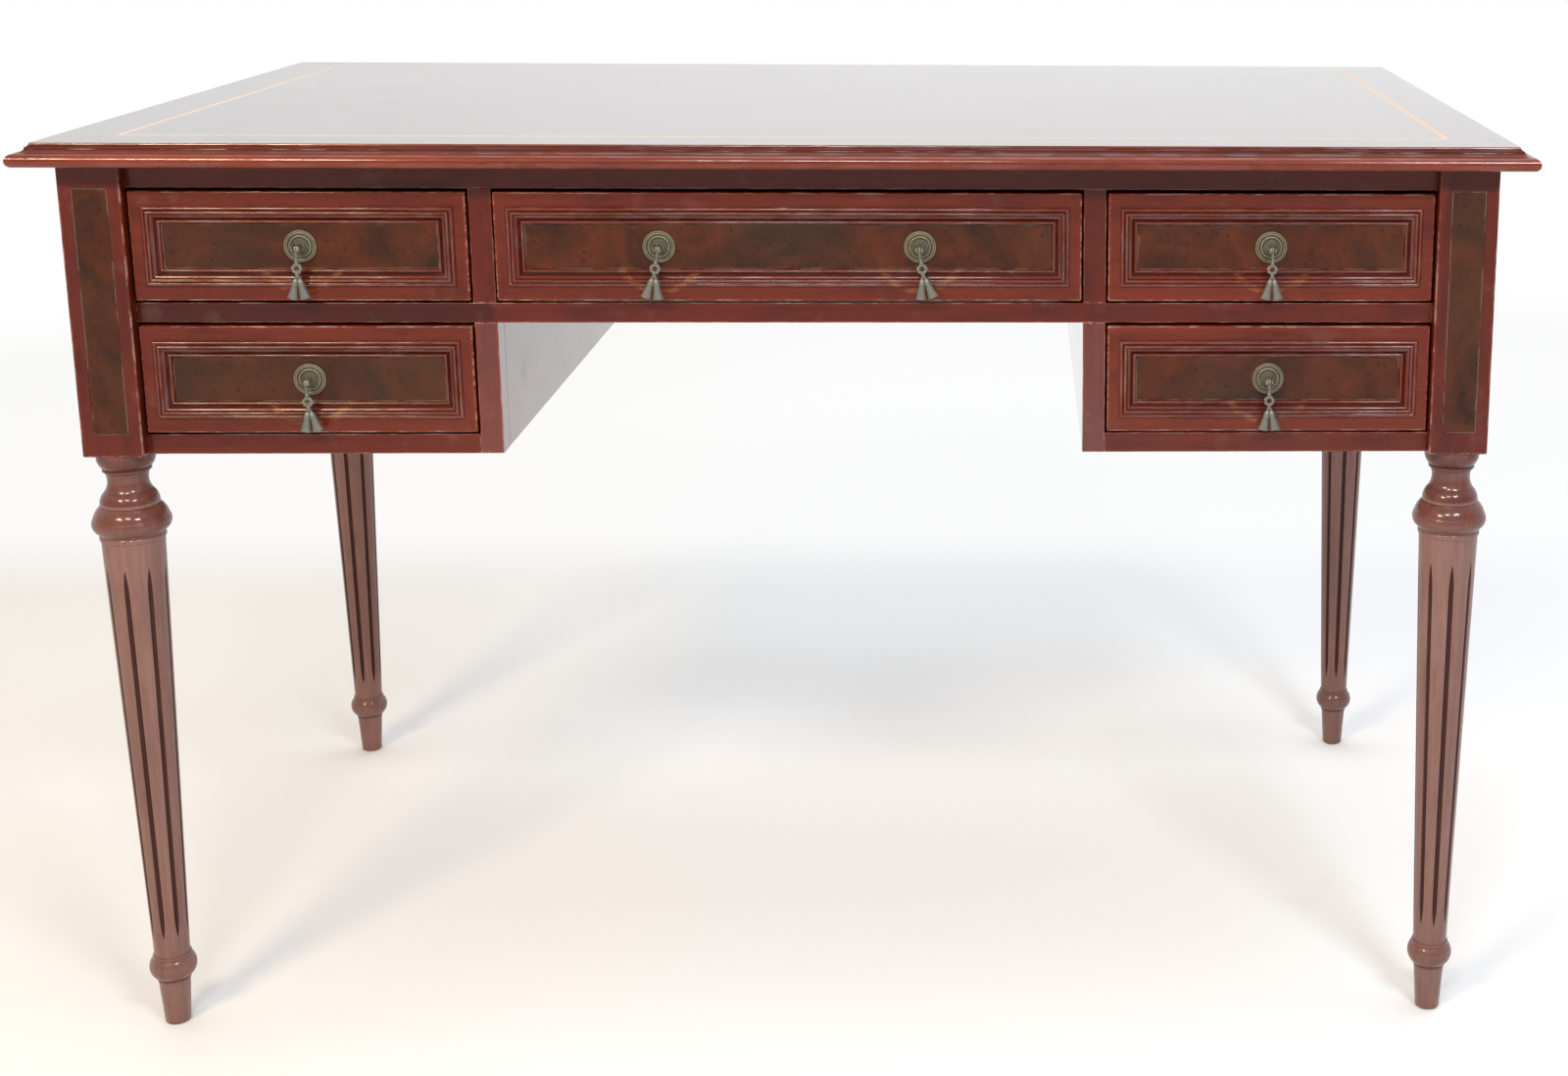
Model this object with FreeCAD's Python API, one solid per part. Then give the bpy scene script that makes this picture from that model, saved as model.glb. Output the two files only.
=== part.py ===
import FreeCAD
import Part
import math
import os

from FreeCAD import Vector

# A writing desk on four turned and fluted legs. Two drawers lie one above the other at each
# end and a wide one spans the kneehole. Each drawer is pulled by hanging tassel drops.
# X runs to the right, Y to the back and Z up. The origin is on the floor, under the middle.

# Overall size
desk_width = 1200.0
desk_depth = 700.0
desk_height = 775.0

# Allowances
cut_overrun = 2.0            # how far each cutting tool runs past the wood
slide_gap = 0.3              # under a drawer's sides, on the runners
guide_gap = 1.0              # beside a drawer's sides
kicker_gap = 1.5             # over a drawer's sides
stop_gap = 0.4               # behind a closed drawer
bolt_clearance = 0.1         # round bolts, studs and screws
swing_clearance = 0.1        # round a pull's pin
cheek_gap = 0.3              # between a pull's ring and the cheeks of its fork

# Top board with its moulded edge and inlaid line
top_thickness = 18.0
edge_strip_width = 40.0
edge_profile_width = 14.5
line_inset = 62.0
line_width = 4.5
line_depth = 1.5
# Edge outline from the flat top outwards and down, as shares of profile width and thickness
edge_shares = (
    (0.98, 0.94, 0.86, 0.83),
    (0.80, 0.83),
    (0.80, 0.76),
    (0.59, 0.60, 0.29, 0.575),
    (0.0, 0.29, 0.22, 0.0),
)

# Posts at the four corners of the case
end_overhang = 26.0
front_overhang = 29.0
post_width = 49.0
post_round = 1.2
post_panel_width = 28.0
post_panel_height = 202.0
post_panel_rise = 18.5       # from the post's foot to the panel's lower end
post_panel_depth = 2.5
post_panel_recess = 0.4

# Front frame
frame_setback = 11.0         # rails and outer panels lie this far inside the posts' faces
rail_depth = 22.0
top_rail_height = 21.0
mid_rail_height = 16.5
bottom_rail_height = 16.5
stile_width = 18.5
kneehole_width = 475.0
panel_thickness = 16.0

# Drawers
drawer_height = 89.0
drawer_gap_below = 2.0
drawer_gap_above = 2.25
drawer_gap_side = 1.5
drawer_proud = 3.0           # the fronts stand this far in front of the rails
front_thickness = 20.0
front_round = 1.6
box_inset = 4.0              # from an end of the front to the side's outer face
side_thickness = 12.0
side_height = 74.0
back_thickness = 12.0
back_drop = 5.0              # the back's top edge lies this far under the sides'
bottom_thickness = 5.0
bottom_rise = 8.0
groove_depth = 5.0

# Drawer moulding and field
moulding_inset_side = 10.0
moulding_inset_top = 12.0
moulding_width = 14.0
moulding_rise = 3.4
moulding_lip = 4.0
pocket_depth = 6.0
field_recess = 2.5
# Moulding outline from its outer edge inwards, as shares of its width, and of its rise
# over the front or, where negative, of the field's recess under it
moulding_shares = (
    (0.0, 0.20),
    (0.04, 0.58, 0.20, 0.62),
    (0.22, 0.50),
    (0.27, 0.50),
    (0.28, 0.86),
    (0.35, 1.0, 0.43, 0.86),
    (0.46, 0.70),
    (0.60, 0.50, 0.70, -0.25),
    (0.76, -0.50),
    (0.80, -0.50),
    (0.88, 0.02, 0.97, -0.60),
    (1.0, -1.0),
)

# Runners, kickers and stops
runner_height = 14.0
runner_lap = 14.0            # under or over a drawer's side, from its outer face
guide_height = 10.0
kicker_height = 15.0
stop_depth = 14.0
stop_width = 20.0
stop_height = 24.0

# Glue blocks under the top, with their screws
block_leg = 42.0
block_height = 16.0
screw_radius = 2.2
screw_head_radius = 4.2
screw_head_height = 2.4
screw_bite = 11.0            # how far a screw goes into the top
screw_inset = 13.0           # from the block's two glued faces
screw_slot_width = 1.0
screw_slot_depth = 0.9

# Turned leg, from the floor up
foot_end_radius = 10.6
foot_edge_round = 2.0
foot_top_radius = 13.1
foot_height = 41.0
lip_radius = 13.8
lip_height = 2.0
ankle_radius = 19.4
ankle_height = 20.0
ankle_fillet_radius = 15.6
ankle_fillet_height = 2.0
shaft_end_radius = 14.5
shaft_top_radius = 24.8
collar_radius = 26.0
collar_root_radius = 25.4
collar_height = 4.0
torus_low_radius = 27.5
torus_cove_height = 3.0
torus_radius = 31.0
torus_top_radius = 29.7
torus_height = 12.0
ovolo_radius = 27.5
ovolo_top_radius = 22.9
ovolo_height = 10.5
line_ring_radius = 23.3
line_ring_height = 2.0
shoulder_radius = 19.0
shoulder_height = 9.5
neck_radius = 16.0
neck_top_radius = 18.0
neck_height = 17.7
cap_fillet_radius = 19.2
cap_fillet_height = 2.8
cap_radius = 23.0
cap_height = 13.5
cap_round_share = 0.61       # of the cap's height that is rounded under
flute_count = 8
flute_width = 4.2
flute_tip = 27.0
flute_tip_share = 0.75       # of the full width, halfway along a point
flute_lift = 0.4             # the cutters' axes lie this far outside the shaft's surface
flute_start = 14.5           # above the shaft's lower end
flute_stop = 18.0            # under the shaft's upper end
leg_bolt_radius = 4.0
leg_bolt_down = 38.0
leg_bolt_up = 32.0

# Hanging pulls
pull_spacing = 210.0         # between the wide drawer's two pulls
rosette_radius = 13.0
rosette_height = 3.0
# Rosette outline from its rim to the bore, as shares of its radius and height
rosette_shares = (
    (1.0, 0.30),
    (0.96, 0.66, 0.89, 0.48),
    (0.84, 0.78, 0.77, 0.46),
    (0.72, 0.30),
    (0.64, 0.74, 0.55, 0.42),
    (0.44, 0.34, 0.34, 0.62),
    (0.30, 1.0),
)
stud_radius = 2.0
neck_stud_radius = 2.7
pin_reach = 13.0             # from the field's face to the pin's axis
pin_radius = 1.0
fork_radius = 3.2
fork_cheek = 1.9
fork_web = 1.9
nut_radius = 4.0
nut_height = 3.0
stud_tail = 1.2              # the thread shows this much behind its nut
loop_radius = 3.0
loop_width = 2.4
drop_stem_radius = 1.2
drop_stem_length = 13.0
stem_bead_radius = 1.8
bow_radius = 3.1
bow_wire_radius = 1.5
tie_radius = 1.9
knot_radius = 2.4
knot_offset = 2.2            # each skirt's knot from the drop's middle
knot_lap = 0.8               # how far a knot sinks into its skirt
tassel_top_radius = 2.3
tassel_width = 8.2
tassel_depth = 5.6
tassel_length = 13.0
tassel_spread = 13.0         # degrees, each skirt leaning outwards
drop_length = 40.5           # from the pin's axis to the tassels' hem

# Levels
case_top = desk_height - top_thickness
opening_height = drawer_gap_below + drawer_height + drawer_gap_above
case_height = (
    top_rail_height + mid_rail_height + bottom_rail_height + 2 * opening_height
)
case_bottom = case_top - case_height
lower_opening_bottom = case_bottom + bottom_rail_height
mid_rail_bottom = lower_opening_bottom + opening_height
upper_opening_bottom = mid_rail_bottom + mid_rail_height
top_rail_bottom = case_top - top_rail_height

# Plan, as distances from the middle
case_x = desk_width / 2 - end_overhang
case_y = desk_depth / 2 - front_overhang
post_inner_x = case_x - post_width
post_inner_y = case_y - post_width
frame_x = case_x - frame_setback
frame_y = case_y - frame_setback
side_inner_x = frame_x - panel_thickness
rail_back_y = frame_y - rail_depth
back_inner_y = frame_y - panel_thickness
knee_x = kneehole_width / 2
stile_outer_x = knee_x + stile_width
partition_outer_x = knee_x + panel_thickness
leg_x = case_x - post_width / 2
leg_y = case_y - post_width / 2
drawer_face_y = -frame_y - drawer_proud
drawer_back_y = back_inner_y - stop_depth - stop_gap


def box(x0, x1, y0, y1, z0, z1):
    """A square piece between two opposite corners."""
    return Part.makeBox(x1 - x0, y1 - y0, z1 - z0, Vector(x0, y0, z0))


def rod(radius, start, end):
    """A round bar from one point to another."""
    along = end - start
    return Part.makeCylinder(radius, along.Length, start, along)


def mirrored(shape):
    """The same piece for the other end of the desk."""
    return shape.mirror(Vector(0, 0, 0), Vector(1, 0, 0))


def moved(shape, x, y, z):
    """A copy of a piece, shifted."""
    copy = shape.copy()
    copy.translate(Vector(x, y, z))
    return copy


def facing_front(shape):
    """A copy of a piece that looked up, turned to look out of the desk's front."""
    copy = shape.copy()
    copy.rotate(Vector(0, 0, 0), Vector(1, 0, 0), 90)
    return copy


def save(name, *solids):
    """Writes one node, of one solid or of several separate ones."""
    shape = solids[0] if len(solids) == 1 else Part.makeCompound(list(solids))
    shape.exportStep("parts/" + name + ".step")


class Outline:
    """A closed outline of lines and arcs, drawn as distances across and up."""

    def __init__(self, across, up, to_point):
        self.to_point = to_point
        self.first = self.here = to_point(across, up)
        self.edges = []

    def line(self, across, up):
        end = self.to_point(across, up)
        if end.distanceToPoint(self.here) > 0:
            self.edges.append(Part.LineSegment(self.here, end).toShape())
            self.here = end
        return self

    def arc(self, mid_across, mid_up, across, up):
        middle, end = self.to_point(mid_across, mid_up), self.to_point(across, up)
        self.edges.append(Part.Arc(self.here, middle, end).toShape())
        self.here = end
        return self

    def follow(self, shares, across_size, up_size):
        """Draws a table of shares: two numbers are a line's end, four an arc's middle and end."""
        for row in shares:
            sized = [
                share * (across_size(share) if i % 2 == 0 else up_size(share))
                for i, share in enumerate(row)
            ]
            if len(row) == 2:
                self.line(*sized)
            else:
                self.arc(*sized)
        return self

    def face(self):
        if self.here.distanceToPoint(self.first) > 0:
            self.edges.append(Part.LineSegment(self.here, self.first).toShape())
        return Part.Face(Part.Wire(self.edges))


def turning(radius, height):
    """A point of an outline that is turned about Z."""
    return Vector(radius, 0, height)


def strip_section(inwards, height):
    """A point of an outline that is run along X."""
    return Vector(0, inwards, height)


def turned(outline):
    """The solid of an outline turned round the Z axis."""
    return outline.face().revolve(Vector(0, 0, 0), Vector(0, 0, 1), 360)


def mitred_frame(section, outer_x, outer_y, strip_width, low, high):
    """Four strips of one section, mitred round a rectangle that looks up."""
    strips = []
    for turn, length, reach in (
        (0, outer_x, outer_y),
        (90, outer_y, outer_x),
        (180, outer_x, outer_y),
        (270, outer_y, outer_x),
    ):
        half = length / 2
        run = section.copy()
        run.translate(Vector(-half, 0, 0))
        strip = run.extrude(Vector(length, 0, 0))
        plan = Part.makePolygon(
            [
                Vector(-half, 0, low),
                Vector(half, 0, low),
                Vector(half - strip_width, strip_width, low),
                Vector(strip_width - half, strip_width, low),
                Vector(-half, 0, low),
            ]
        )
        strip = strip.common(Part.Face(plan).extrude(Vector(0, 0, high - low)))
        strip.translate(Vector(0, -reach / 2, 0))
        strip.rotate(Vector(0, 0, 0), Vector(0, 0, 1), turn)
        strips.append(strip.Solids[0])
    return strips


def edge_section():
    """Section of the top's edge strip, with the mould on its outer side."""
    outline = Outline(edge_strip_width, 0, strip_section)
    outline.line(edge_strip_width, top_thickness).line(edge_profile_width, top_thickness)
    outline.follow(edge_shares, lambda share: edge_profile_width, lambda share: top_thickness)
    return outline.face()


def rectangle_section(width, low, high):
    """Section of a plain square strip."""
    outline = Outline(0, low, strip_section)
    return outline.line(width, low).line(width, high).line(0, high).face()


def make_top():
    """The board, its moulded edge strips and the line inlaid in the board."""
    strips = mitred_frame(
        edge_section(), desk_width, desk_depth, edge_strip_width, 0, top_thickness
    )
    save("top_edge_moulding", *[moved(strip, 0, 0, case_top) for strip in strips])

    line = mitred_frame(
        rectangle_section(line_width, -line_depth, 0),
        desk_width - 2 * line_inset,
        desk_depth - 2 * line_inset,
        line_width,
        -line_depth,
        0,
    )
    line = [moved(strip, 0, 0, desk_height) for strip in line]
    save("top_inlaid_line", *line)

    board_x = desk_width / 2 - edge_strip_width
    board_y = desk_depth / 2 - edge_strip_width
    board = box(-board_x, board_x, -board_y, board_y, case_top, desk_height)
    groove_outer = box(
        line_inset - desk_width / 2,
        desk_width / 2 - line_inset,
        line_inset - desk_depth / 2,
        desk_depth / 2 - line_inset,
        desk_height - line_depth,
        desk_height + cut_overrun,
    )
    inner = line_inset + line_width
    groove_inner = box(
        inner - desk_width / 2,
        desk_width / 2 - inner,
        inner - desk_depth / 2,
        desk_depth / 2 - inner,
        desk_height - line_depth - cut_overrun,
        desk_height + 2 * cut_overrun,
    )
    board = board.cut(groove_outer.cut(groove_inner))
    holes = [screw_hole(x, y) for x, y in screw_places()]
    save("top_board", board.cut(Part.makeCompound(holes)))


def block_corners():
    """Corner of each glue block with the directions in which its two glued faces run."""
    bay_y = (-rail_back_y, 1), (back_inner_y, -1)
    return [
        (side * x, y, side * way, turn)
        for side in (1, -1)
        for x, way in ((knee_x, -1), (partition_outer_x, 1))
        for y, turn in bay_y
    ]


def screw_places():
    """Where the screws through the glue blocks go up into the top."""
    return [
        (x + way * screw_inset, y + turn * screw_inset) for x, y, way, turn in block_corners()
    ]


def screw_hole(x, y):
    """The hole of one top screw, through its block and into the board."""
    foot = Vector(x, y, case_top - block_height - cut_overrun)
    return rod(screw_radius + bolt_clearance, foot, Vector(x, y, case_top + screw_bite))


def make_blocks():
    """Three-cornered glue blocks in the case's upper corners, screwed up into the top."""
    blocks, screws = [], []
    low = case_top - block_height
    for (x, y, way, turn), (screw_x, screw_y) in zip(block_corners(), screw_places()):
        plan = Part.makePolygon(
            [
                Vector(x, y, low),
                Vector(x + way * block_leg, y, low),
                Vector(x, y + turn * block_leg, low),
                Vector(x, y, low),
            ]
        )
        block = Part.Face(plan).extrude(Vector(0, 0, block_height))
        blocks.append(block.cut(screw_hole(screw_x, screw_y)))
        seat = Vector(screw_x, screw_y, low)
        head_foot = Vector(screw_x, screw_y, low - screw_head_height)
        head = rod(screw_head_radius, head_foot, seat)
        slot = box(
            screw_x - screw_head_radius - cut_overrun,
            screw_x + screw_head_radius + cut_overrun,
            screw_y - screw_slot_width / 2,
            screw_y + screw_slot_width / 2,
            head_foot.z - cut_overrun,
            head_foot.z + screw_slot_depth,
        )
        tip = Vector(screw_x, screw_y, case_top + screw_bite)
        screws.append(head.cut(slot).fuse(rod(screw_radius, seat, tip)).removeSplitter())
    save("glue_blocks", *blocks)
    save("top_screws", *screws)


def make_posts():
    """Square corner posts, the front two with a sunk panel in their faces."""
    panel_half = post_panel_width / 2
    panel_low = case_bottom + post_panel_rise
    panel_high = panel_low + post_panel_height
    panel = box(
        -leg_x - panel_half,
        -leg_x + panel_half,
        -case_y + post_panel_recess,
        -case_y + post_panel_depth,
        panel_low,
        panel_high,
    )
    pocket = box(
        -leg_x - panel_half,
        -leg_x + panel_half,
        -case_y - cut_overrun,
        -case_y + post_panel_depth,
        panel_low,
        panel_high,
    )
    save("post_panels", panel, mirrored(panel))

    bolt_hole = rod(
        leg_bolt_radius + bolt_clearance,
        Vector(0, 0, case_bottom - cut_overrun),
        Vector(0, 0, case_bottom + leg_bolt_up),
    )
    for row, y in (("front", -leg_y), ("back", leg_y)):
        half = post_width / 2
        post = box(-leg_x - half, -leg_x + half, y - half, y + half, case_bottom, case_top)
        corners = [edge for edge in post.Edges if abs(edge.tangentAt(0).z) > 1 / 2]
        post = post.makeFillet(post_round, corners).cut(moved(bolt_hole, -leg_x, y, 0))
        if row == "front":
            post = post.cut(pocket)
        save("post_" + row + "_left", post)
        save("post_" + row + "_right", mirrored(post))


def leg_outline():
    """Half section of a leg, from the floor up to the post."""
    shaft_low = foot_height + lip_height + ankle_height + ankle_fillet_height
    pen = Outline(0, 0, turning).line(foot_end_radius - foot_edge_round, 0)
    bend = foot_edge_round * (1 - math.sqrt(0.5))
    pen.arc(foot_end_radius - bend, bend, foot_end_radius, foot_edge_round)
    pen.line(foot_top_radius, foot_height)
    pen.line(lip_radius, foot_height).line(lip_radius, foot_height + lip_height)
    ankle_low = foot_height + lip_height
    ankle_high = ankle_low + ankle_height
    pen.arc(ankle_radius, (ankle_low + ankle_high) / 2, ankle_fillet_radius, ankle_high)
    pen.line(ankle_fillet_radius, shaft_low).line(shaft_end_radius, shaft_low)

    level = case_bottom - leg_head_height()
    pen.line(shaft_top_radius, level)
    shoulder_swell = line_ring_radius - (line_ring_radius - shoulder_radius) / 4
    cap_swell = cap_radius - (cap_radius - cap_fillet_radius) / 4
    for height, middle_radius, end_radius in (
        (0, None, collar_root_radius),
        (collar_height, collar_radius, collar_root_radius),
        (torus_cove_height, collar_radius, torus_low_radius),
        (torus_height, torus_radius, torus_top_radius),
        (ovolo_height, ovolo_radius, ovolo_top_radius),
        (0, None, line_ring_radius),
        (line_ring_height, None, line_ring_radius),
        (shoulder_height, shoulder_swell, shoulder_radius),
        (neck_height, neck_radius, neck_top_radius),
        (0, None, cap_fillet_radius),
        (cap_fillet_height, None, cap_fillet_radius),
        (cap_height * cap_round_share, cap_swell, cap_radius),
        (cap_height * (1 - cap_round_share), None, cap_radius),
    ):
        top = level + height
        if middle_radius is None:
            pen.line(end_radius, top)
        else:
            pen.arc(middle_radius, (level + top) / 2, end_radius, top)
        level = top
    return pen.line(0, level)


def leg_head_height():
    """Height of all the rings between the fluted shaft and the post."""
    return (
        collar_height
        + torus_cove_height
        + torus_height
        + ovolo_height
        + line_ring_height
        + shoulder_height
        + neck_height
        + cap_fillet_height
        + cap_height
    )


def flutes():
    """Spindles with pointed ends, laid along the tapered shaft, that cut its flutes."""
    shaft_low = foot_height + lip_height + ankle_height + ankle_fillet_height
    shaft_high = case_bottom - leg_head_height()
    slope = (shaft_top_radius - shaft_end_radius) / (shaft_high - shaft_low)
    lean = math.atan(slope)
    length = (shaft_high - shaft_low - flute_start - flute_stop) / math.cos(lean)
    half = flute_width / 2
    swell = half * flute_tip_share
    spindle = turned(
        Outline(0, 0, turning)
        .arc(swell, flute_tip / 2, half, flute_tip)
        .line(half, length - flute_tip)
        .arc(swell, length - flute_tip / 2, 0, length)
    )
    spindle.rotate(Vector(0, 0, 0), Vector(0, 1, 0), math.degrees(lean))
    spindle.translate(
        Vector(
            shaft_end_radius + slope * flute_start + flute_lift, 0, shaft_low + flute_start
        )
    )
    tools = []
    for number in range(flute_count):
        tool = spindle.copy()
        tool.rotate(Vector(0, 0, 0), Vector(0, 0, 1), number * 360 / flute_count - 90)
        tools.append(tool)
    return tools


def make_legs():
    """Turned legs, each hung from its post by a bolt that is threaded at both ends."""
    leg = turned(leg_outline())
    leg.rotate(Vector(0, 0, 0), Vector(0, 0, 1), 180 / flute_count)
    leg = leg.cut(Part.makeCompound(flutes()))
    down = Vector(0, 0, case_bottom - leg_bolt_down)
    up = Vector(0, 0, case_bottom + leg_bolt_up)
    leg = leg.cut(
        rod(leg_bolt_radius + bolt_clearance, down, Vector(0, 0, case_bottom + cut_overrun))
    )
    bolt = rod(leg_bolt_radius, down, up)
    places = {
        "front_left": (-leg_x, -leg_y),
        "front_right": (leg_x, -leg_y),
        "back_left": (-leg_x, leg_y),
        "back_right": (leg_x, leg_y),
    }
    for name, (x, y) in places.items():
        save("leg_" + name, moved(leg, x, y, 0))
    save("leg_bolts", *[moved(bolt, x, y, 0) for x, y in places.values()])


def make_case():
    """Rails, stiles, outer panels and the partitions beside the kneehole."""
    front, back = -frame_y, -rail_back_y
    save(
        "front_top_rail",
        box(-post_inner_x, post_inner_x, front, back, top_rail_bottom, case_top),
    )
    save(
        "front_middle_rail",
        box(-post_inner_x, post_inner_x, front, back, mid_rail_bottom, upper_opening_bottom),
    )
    bottom_rail = box(
        -post_inner_x, -stile_outer_x, front, back, case_bottom, lower_opening_bottom
    )
    save("front_bottom_rails", bottom_rail, mirrored(bottom_rail))
    upper_stile = box(
        -stile_outer_x, -knee_x, front, back, upper_opening_bottom, top_rail_bottom
    )
    lower_stile = box(-stile_outer_x, -knee_x, front, back, case_bottom, mid_rail_bottom)
    save("upper_stiles", upper_stile, mirrored(upper_stile))
    save("pedestal_stiles", lower_stile, mirrored(lower_stile))

    end_panel = box(
        -frame_x, -side_inner_x, -post_inner_y, post_inner_y, case_bottom, case_top
    )
    save("end_panel_left", end_panel)
    save("end_panel_right", mirrored(end_panel))
    partition = box(
        -partition_outer_x, -knee_x, back, back_inner_y, case_bottom, case_top
    )
    save("kneehole_panel_left", partition)
    save("kneehole_panel_right", mirrored(partition))
    save(
        "back_apron",
        box(-post_inner_x, post_inner_x, back_inner_y, frame_y, mid_rail_bottom, case_top),
    )
    pedestal_back = box(
        -post_inner_x, -knee_x, back_inner_y, frame_y, case_bottom, mid_rail_bottom
    )
    save("pedestal_backs", pedestal_back, mirrored(pedestal_back))


def drawer_bays():
    """Name, middle and half width of each drawer front, its floor level, and the case walls
    on its left and right."""
    side_half = (post_inner_x - stile_outer_x) / 2 - drawer_gap_side
    side_x = (post_inner_x + stile_outer_x) / 2
    upper = upper_opening_bottom + drawer_gap_below
    lower = lower_opening_bottom + drawer_gap_below
    centre_half = knee_x - drawer_gap_side
    return (
        ("left_top", -side_x, side_half, upper, -side_inner_x, -partition_outer_x),
        ("left_bottom", -side_x, side_half, lower, -side_inner_x, -partition_outer_x),
        ("centre", 0, centre_half, upper, -knee_x, knee_x),
        ("right_top", side_x, side_half, upper, partition_outer_x, side_inner_x),
        ("right_bottom", side_x, side_half, lower, partition_outer_x, side_inner_x),
    )


def post_prisms():
    """The four posts as plain prisms, round which the runners and kickers are notched."""
    return Part.makeCompound(
        [
            box(x, x + post_width, y, y + post_width, case_bottom, case_top)
            for x in (-case_x, post_inner_x)
            for y in (-case_y, post_inner_y)
        ]
    )


def slide_bar(wall, reach, low, height):
    """A bar from a case wall inwards, from the front rails to the back, clear of the posts."""
    bar = box(
        min(wall, reach), max(wall, reach), -rail_back_y, back_inner_y, low, low + height
    )
    return bar.cut(post_prisms()).Solids[0]


def make_slides():
    """Runners and guides for each drawer's sides, kickers over them, and end stops."""
    runners, kickers, stops = [], [], []
    stop_low_rise = bottom_rise + bottom_thickness
    for _, middle, half, floor, wall_left, wall_right in drawer_bays():
        for wall, way in ((wall_left, 1), (wall_right, -1)):
            side = middle - way * (half - box_inset)
            lap = side + way * runner_lap
            top = floor - slide_gap
            runners.append(slide_bar(wall, lap, top - runner_height, runner_height))
            runners.append(slide_bar(wall, side - way * guide_gap, top, guide_height))
            kicker_low = floor + side_height + kicker_gap
            kickers.append(slide_bar(wall, lap, kicker_low, kicker_height))
            inner = side + way * stop_width
            stop_low = floor + stop_low_rise
            stops.append(
                box(
                    min(side, inner),
                    max(side, inner),
                    back_inner_y - stop_depth,
                    back_inner_y,
                    stop_low,
                    stop_low + stop_height,
                )
            )
    save("drawer_runners", *runners)
    save("drawer_kickers", *kickers)
    save("drawer_stops", *stops)


def moulding_section():
    """Section of a drawer's moulding, which laps its front and sinks into the pocket."""
    outline = Outline(0, 0, strip_section)
    outline.follow(
        moulding_shares,
        lambda share: moulding_width,
        lambda share: moulding_rise if share > 0 else field_recess,
    )
    outline.line(moulding_width, -pocket_depth).line(moulding_lip, -pocket_depth)
    return outline.line(moulding_lip, 0).face()


def make_drawer(name, middle, half, floor, pull_places):
    """One drawer: its front with the moulded frame and field, and the box behind it."""
    width, middle_z = 2 * half, floor + drawer_height / 2
    outer_x = width - 2 * moulding_inset_side
    outer_z = drawer_height - 2 * moulding_inset_top
    field_x, field_z = outer_x - 2 * moulding_width, outer_z - 2 * moulding_width
    pocket_x, pocket_z = outer_x - 2 * moulding_lip, outer_z - 2 * moulding_lip
    front_back_y = drawer_face_y + front_thickness

    front = box(
        middle - half, middle + half, drawer_face_y, front_back_y, floor, floor + drawer_height
    )
    face_edges = [edge for edge in front.Edges if edge.BoundBox.YMax < front_back_y - front_round]
    front = front.makeFillet(front_round, face_edges)
    pocket = box(
        middle - pocket_x / 2,
        middle + pocket_x / 2,
        drawer_face_y - cut_overrun,
        drawer_face_y + pocket_depth,
        middle_z - pocket_z / 2,
        middle_z + pocket_z / 2,
    )
    field = box(
        middle - field_x / 2,
        middle + field_x / 2,
        drawer_face_y + field_recess,
        drawer_face_y + pocket_depth,
        middle_z - field_z / 2,
        middle_z + field_z / 2,
    )
    stud_holes = Part.makeCompound(
        [
            rod(
                stud_radius + bolt_clearance,
                Vector(middle + x, drawer_face_y - cut_overrun, middle_z),
                Vector(middle + x, front_back_y + cut_overrun, middle_z),
            )
            for x in pull_places
        ]
    )
    frame = mitred_frame(
        moulding_section(), outer_x, outer_z, moulding_width, -pocket_depth, moulding_rise
    )
    frame = [moved(facing_front(strip), middle, drawer_face_y, middle_z) for strip in frame]
    save("drawer_" + name + "_moulding", *frame)
    save("drawer_" + name + "_field", field.cut(stud_holes))

    side_outer = half - box_inset
    side_inner = side_outer - side_thickness
    side_top = floor + side_height
    board_low = floor + bottom_rise
    board_high = board_low + bottom_thickness
    board = box(
        middle - side_inner - groove_depth,
        middle + side_inner + groove_depth,
        front_back_y - groove_depth,
        drawer_back_y,
        board_low,
        board_high,
    )
    save("drawer_" + name + "_front", front.cut(pocket).cut(stud_holes).cut(board))
    left = box(
        middle - side_outer, middle - side_inner, front_back_y, drawer_back_y, floor, side_top
    ).cut(board)
    right = box(
        middle + side_inner, middle + side_outer, front_back_y, drawer_back_y, floor, side_top
    ).cut(board)
    back = box(
        middle - side_inner,
        middle + side_inner,
        drawer_back_y - back_thickness,
        drawer_back_y,
        board_high,
        side_top - back_drop,
    )
    save("drawer_" + name + "_box", left, right, back, board)


def rosette():
    """The round back plate, looking up, with its rings."""
    bore = stud_radius + bolt_clearance
    outline = Outline(bore, 0, turning).line(rosette_radius, 0)
    outline.follow(rosette_shares, lambda share: rosette_radius, lambda share: rosette_height)
    return turned(outline.line(bore, rosette_height))


def stud():
    """The threaded stud with the forked head that carries the drop's pin, looking up."""
    slot_half = loop_width / 2 + cheek_gap
    half = slot_half + fork_cheek
    slot_floor = pin_reach - loop_radius - cheek_gap
    web = slot_floor - fork_web
    tail = Vector(0, 0, -wood_under_field() - nut_height - stud_tail)
    shank = rod(stud_radius, tail, Vector(0, 0, rosette_height))
    neck = rod(neck_stud_radius, Vector(0, 0, rosette_height), Vector(0, 0, web))
    block = box(-half, half, -fork_radius, fork_radius, web, pin_reach)
    eye = rod(fork_radius, Vector(-half, 0, pin_reach), Vector(half, 0, pin_reach))
    slot = box(
        -slot_half,
        slot_half,
        -fork_radius - cut_overrun,
        fork_radius + cut_overrun,
        slot_floor,
        pin_reach + fork_radius + cut_overrun,
    )
    pin = rod(pin_radius, Vector(-half, 0, pin_reach), Vector(half, 0, pin_reach))
    return shank.fuse([neck, block, eye]).cut(slot).fuse(pin).removeSplitter()


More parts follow.
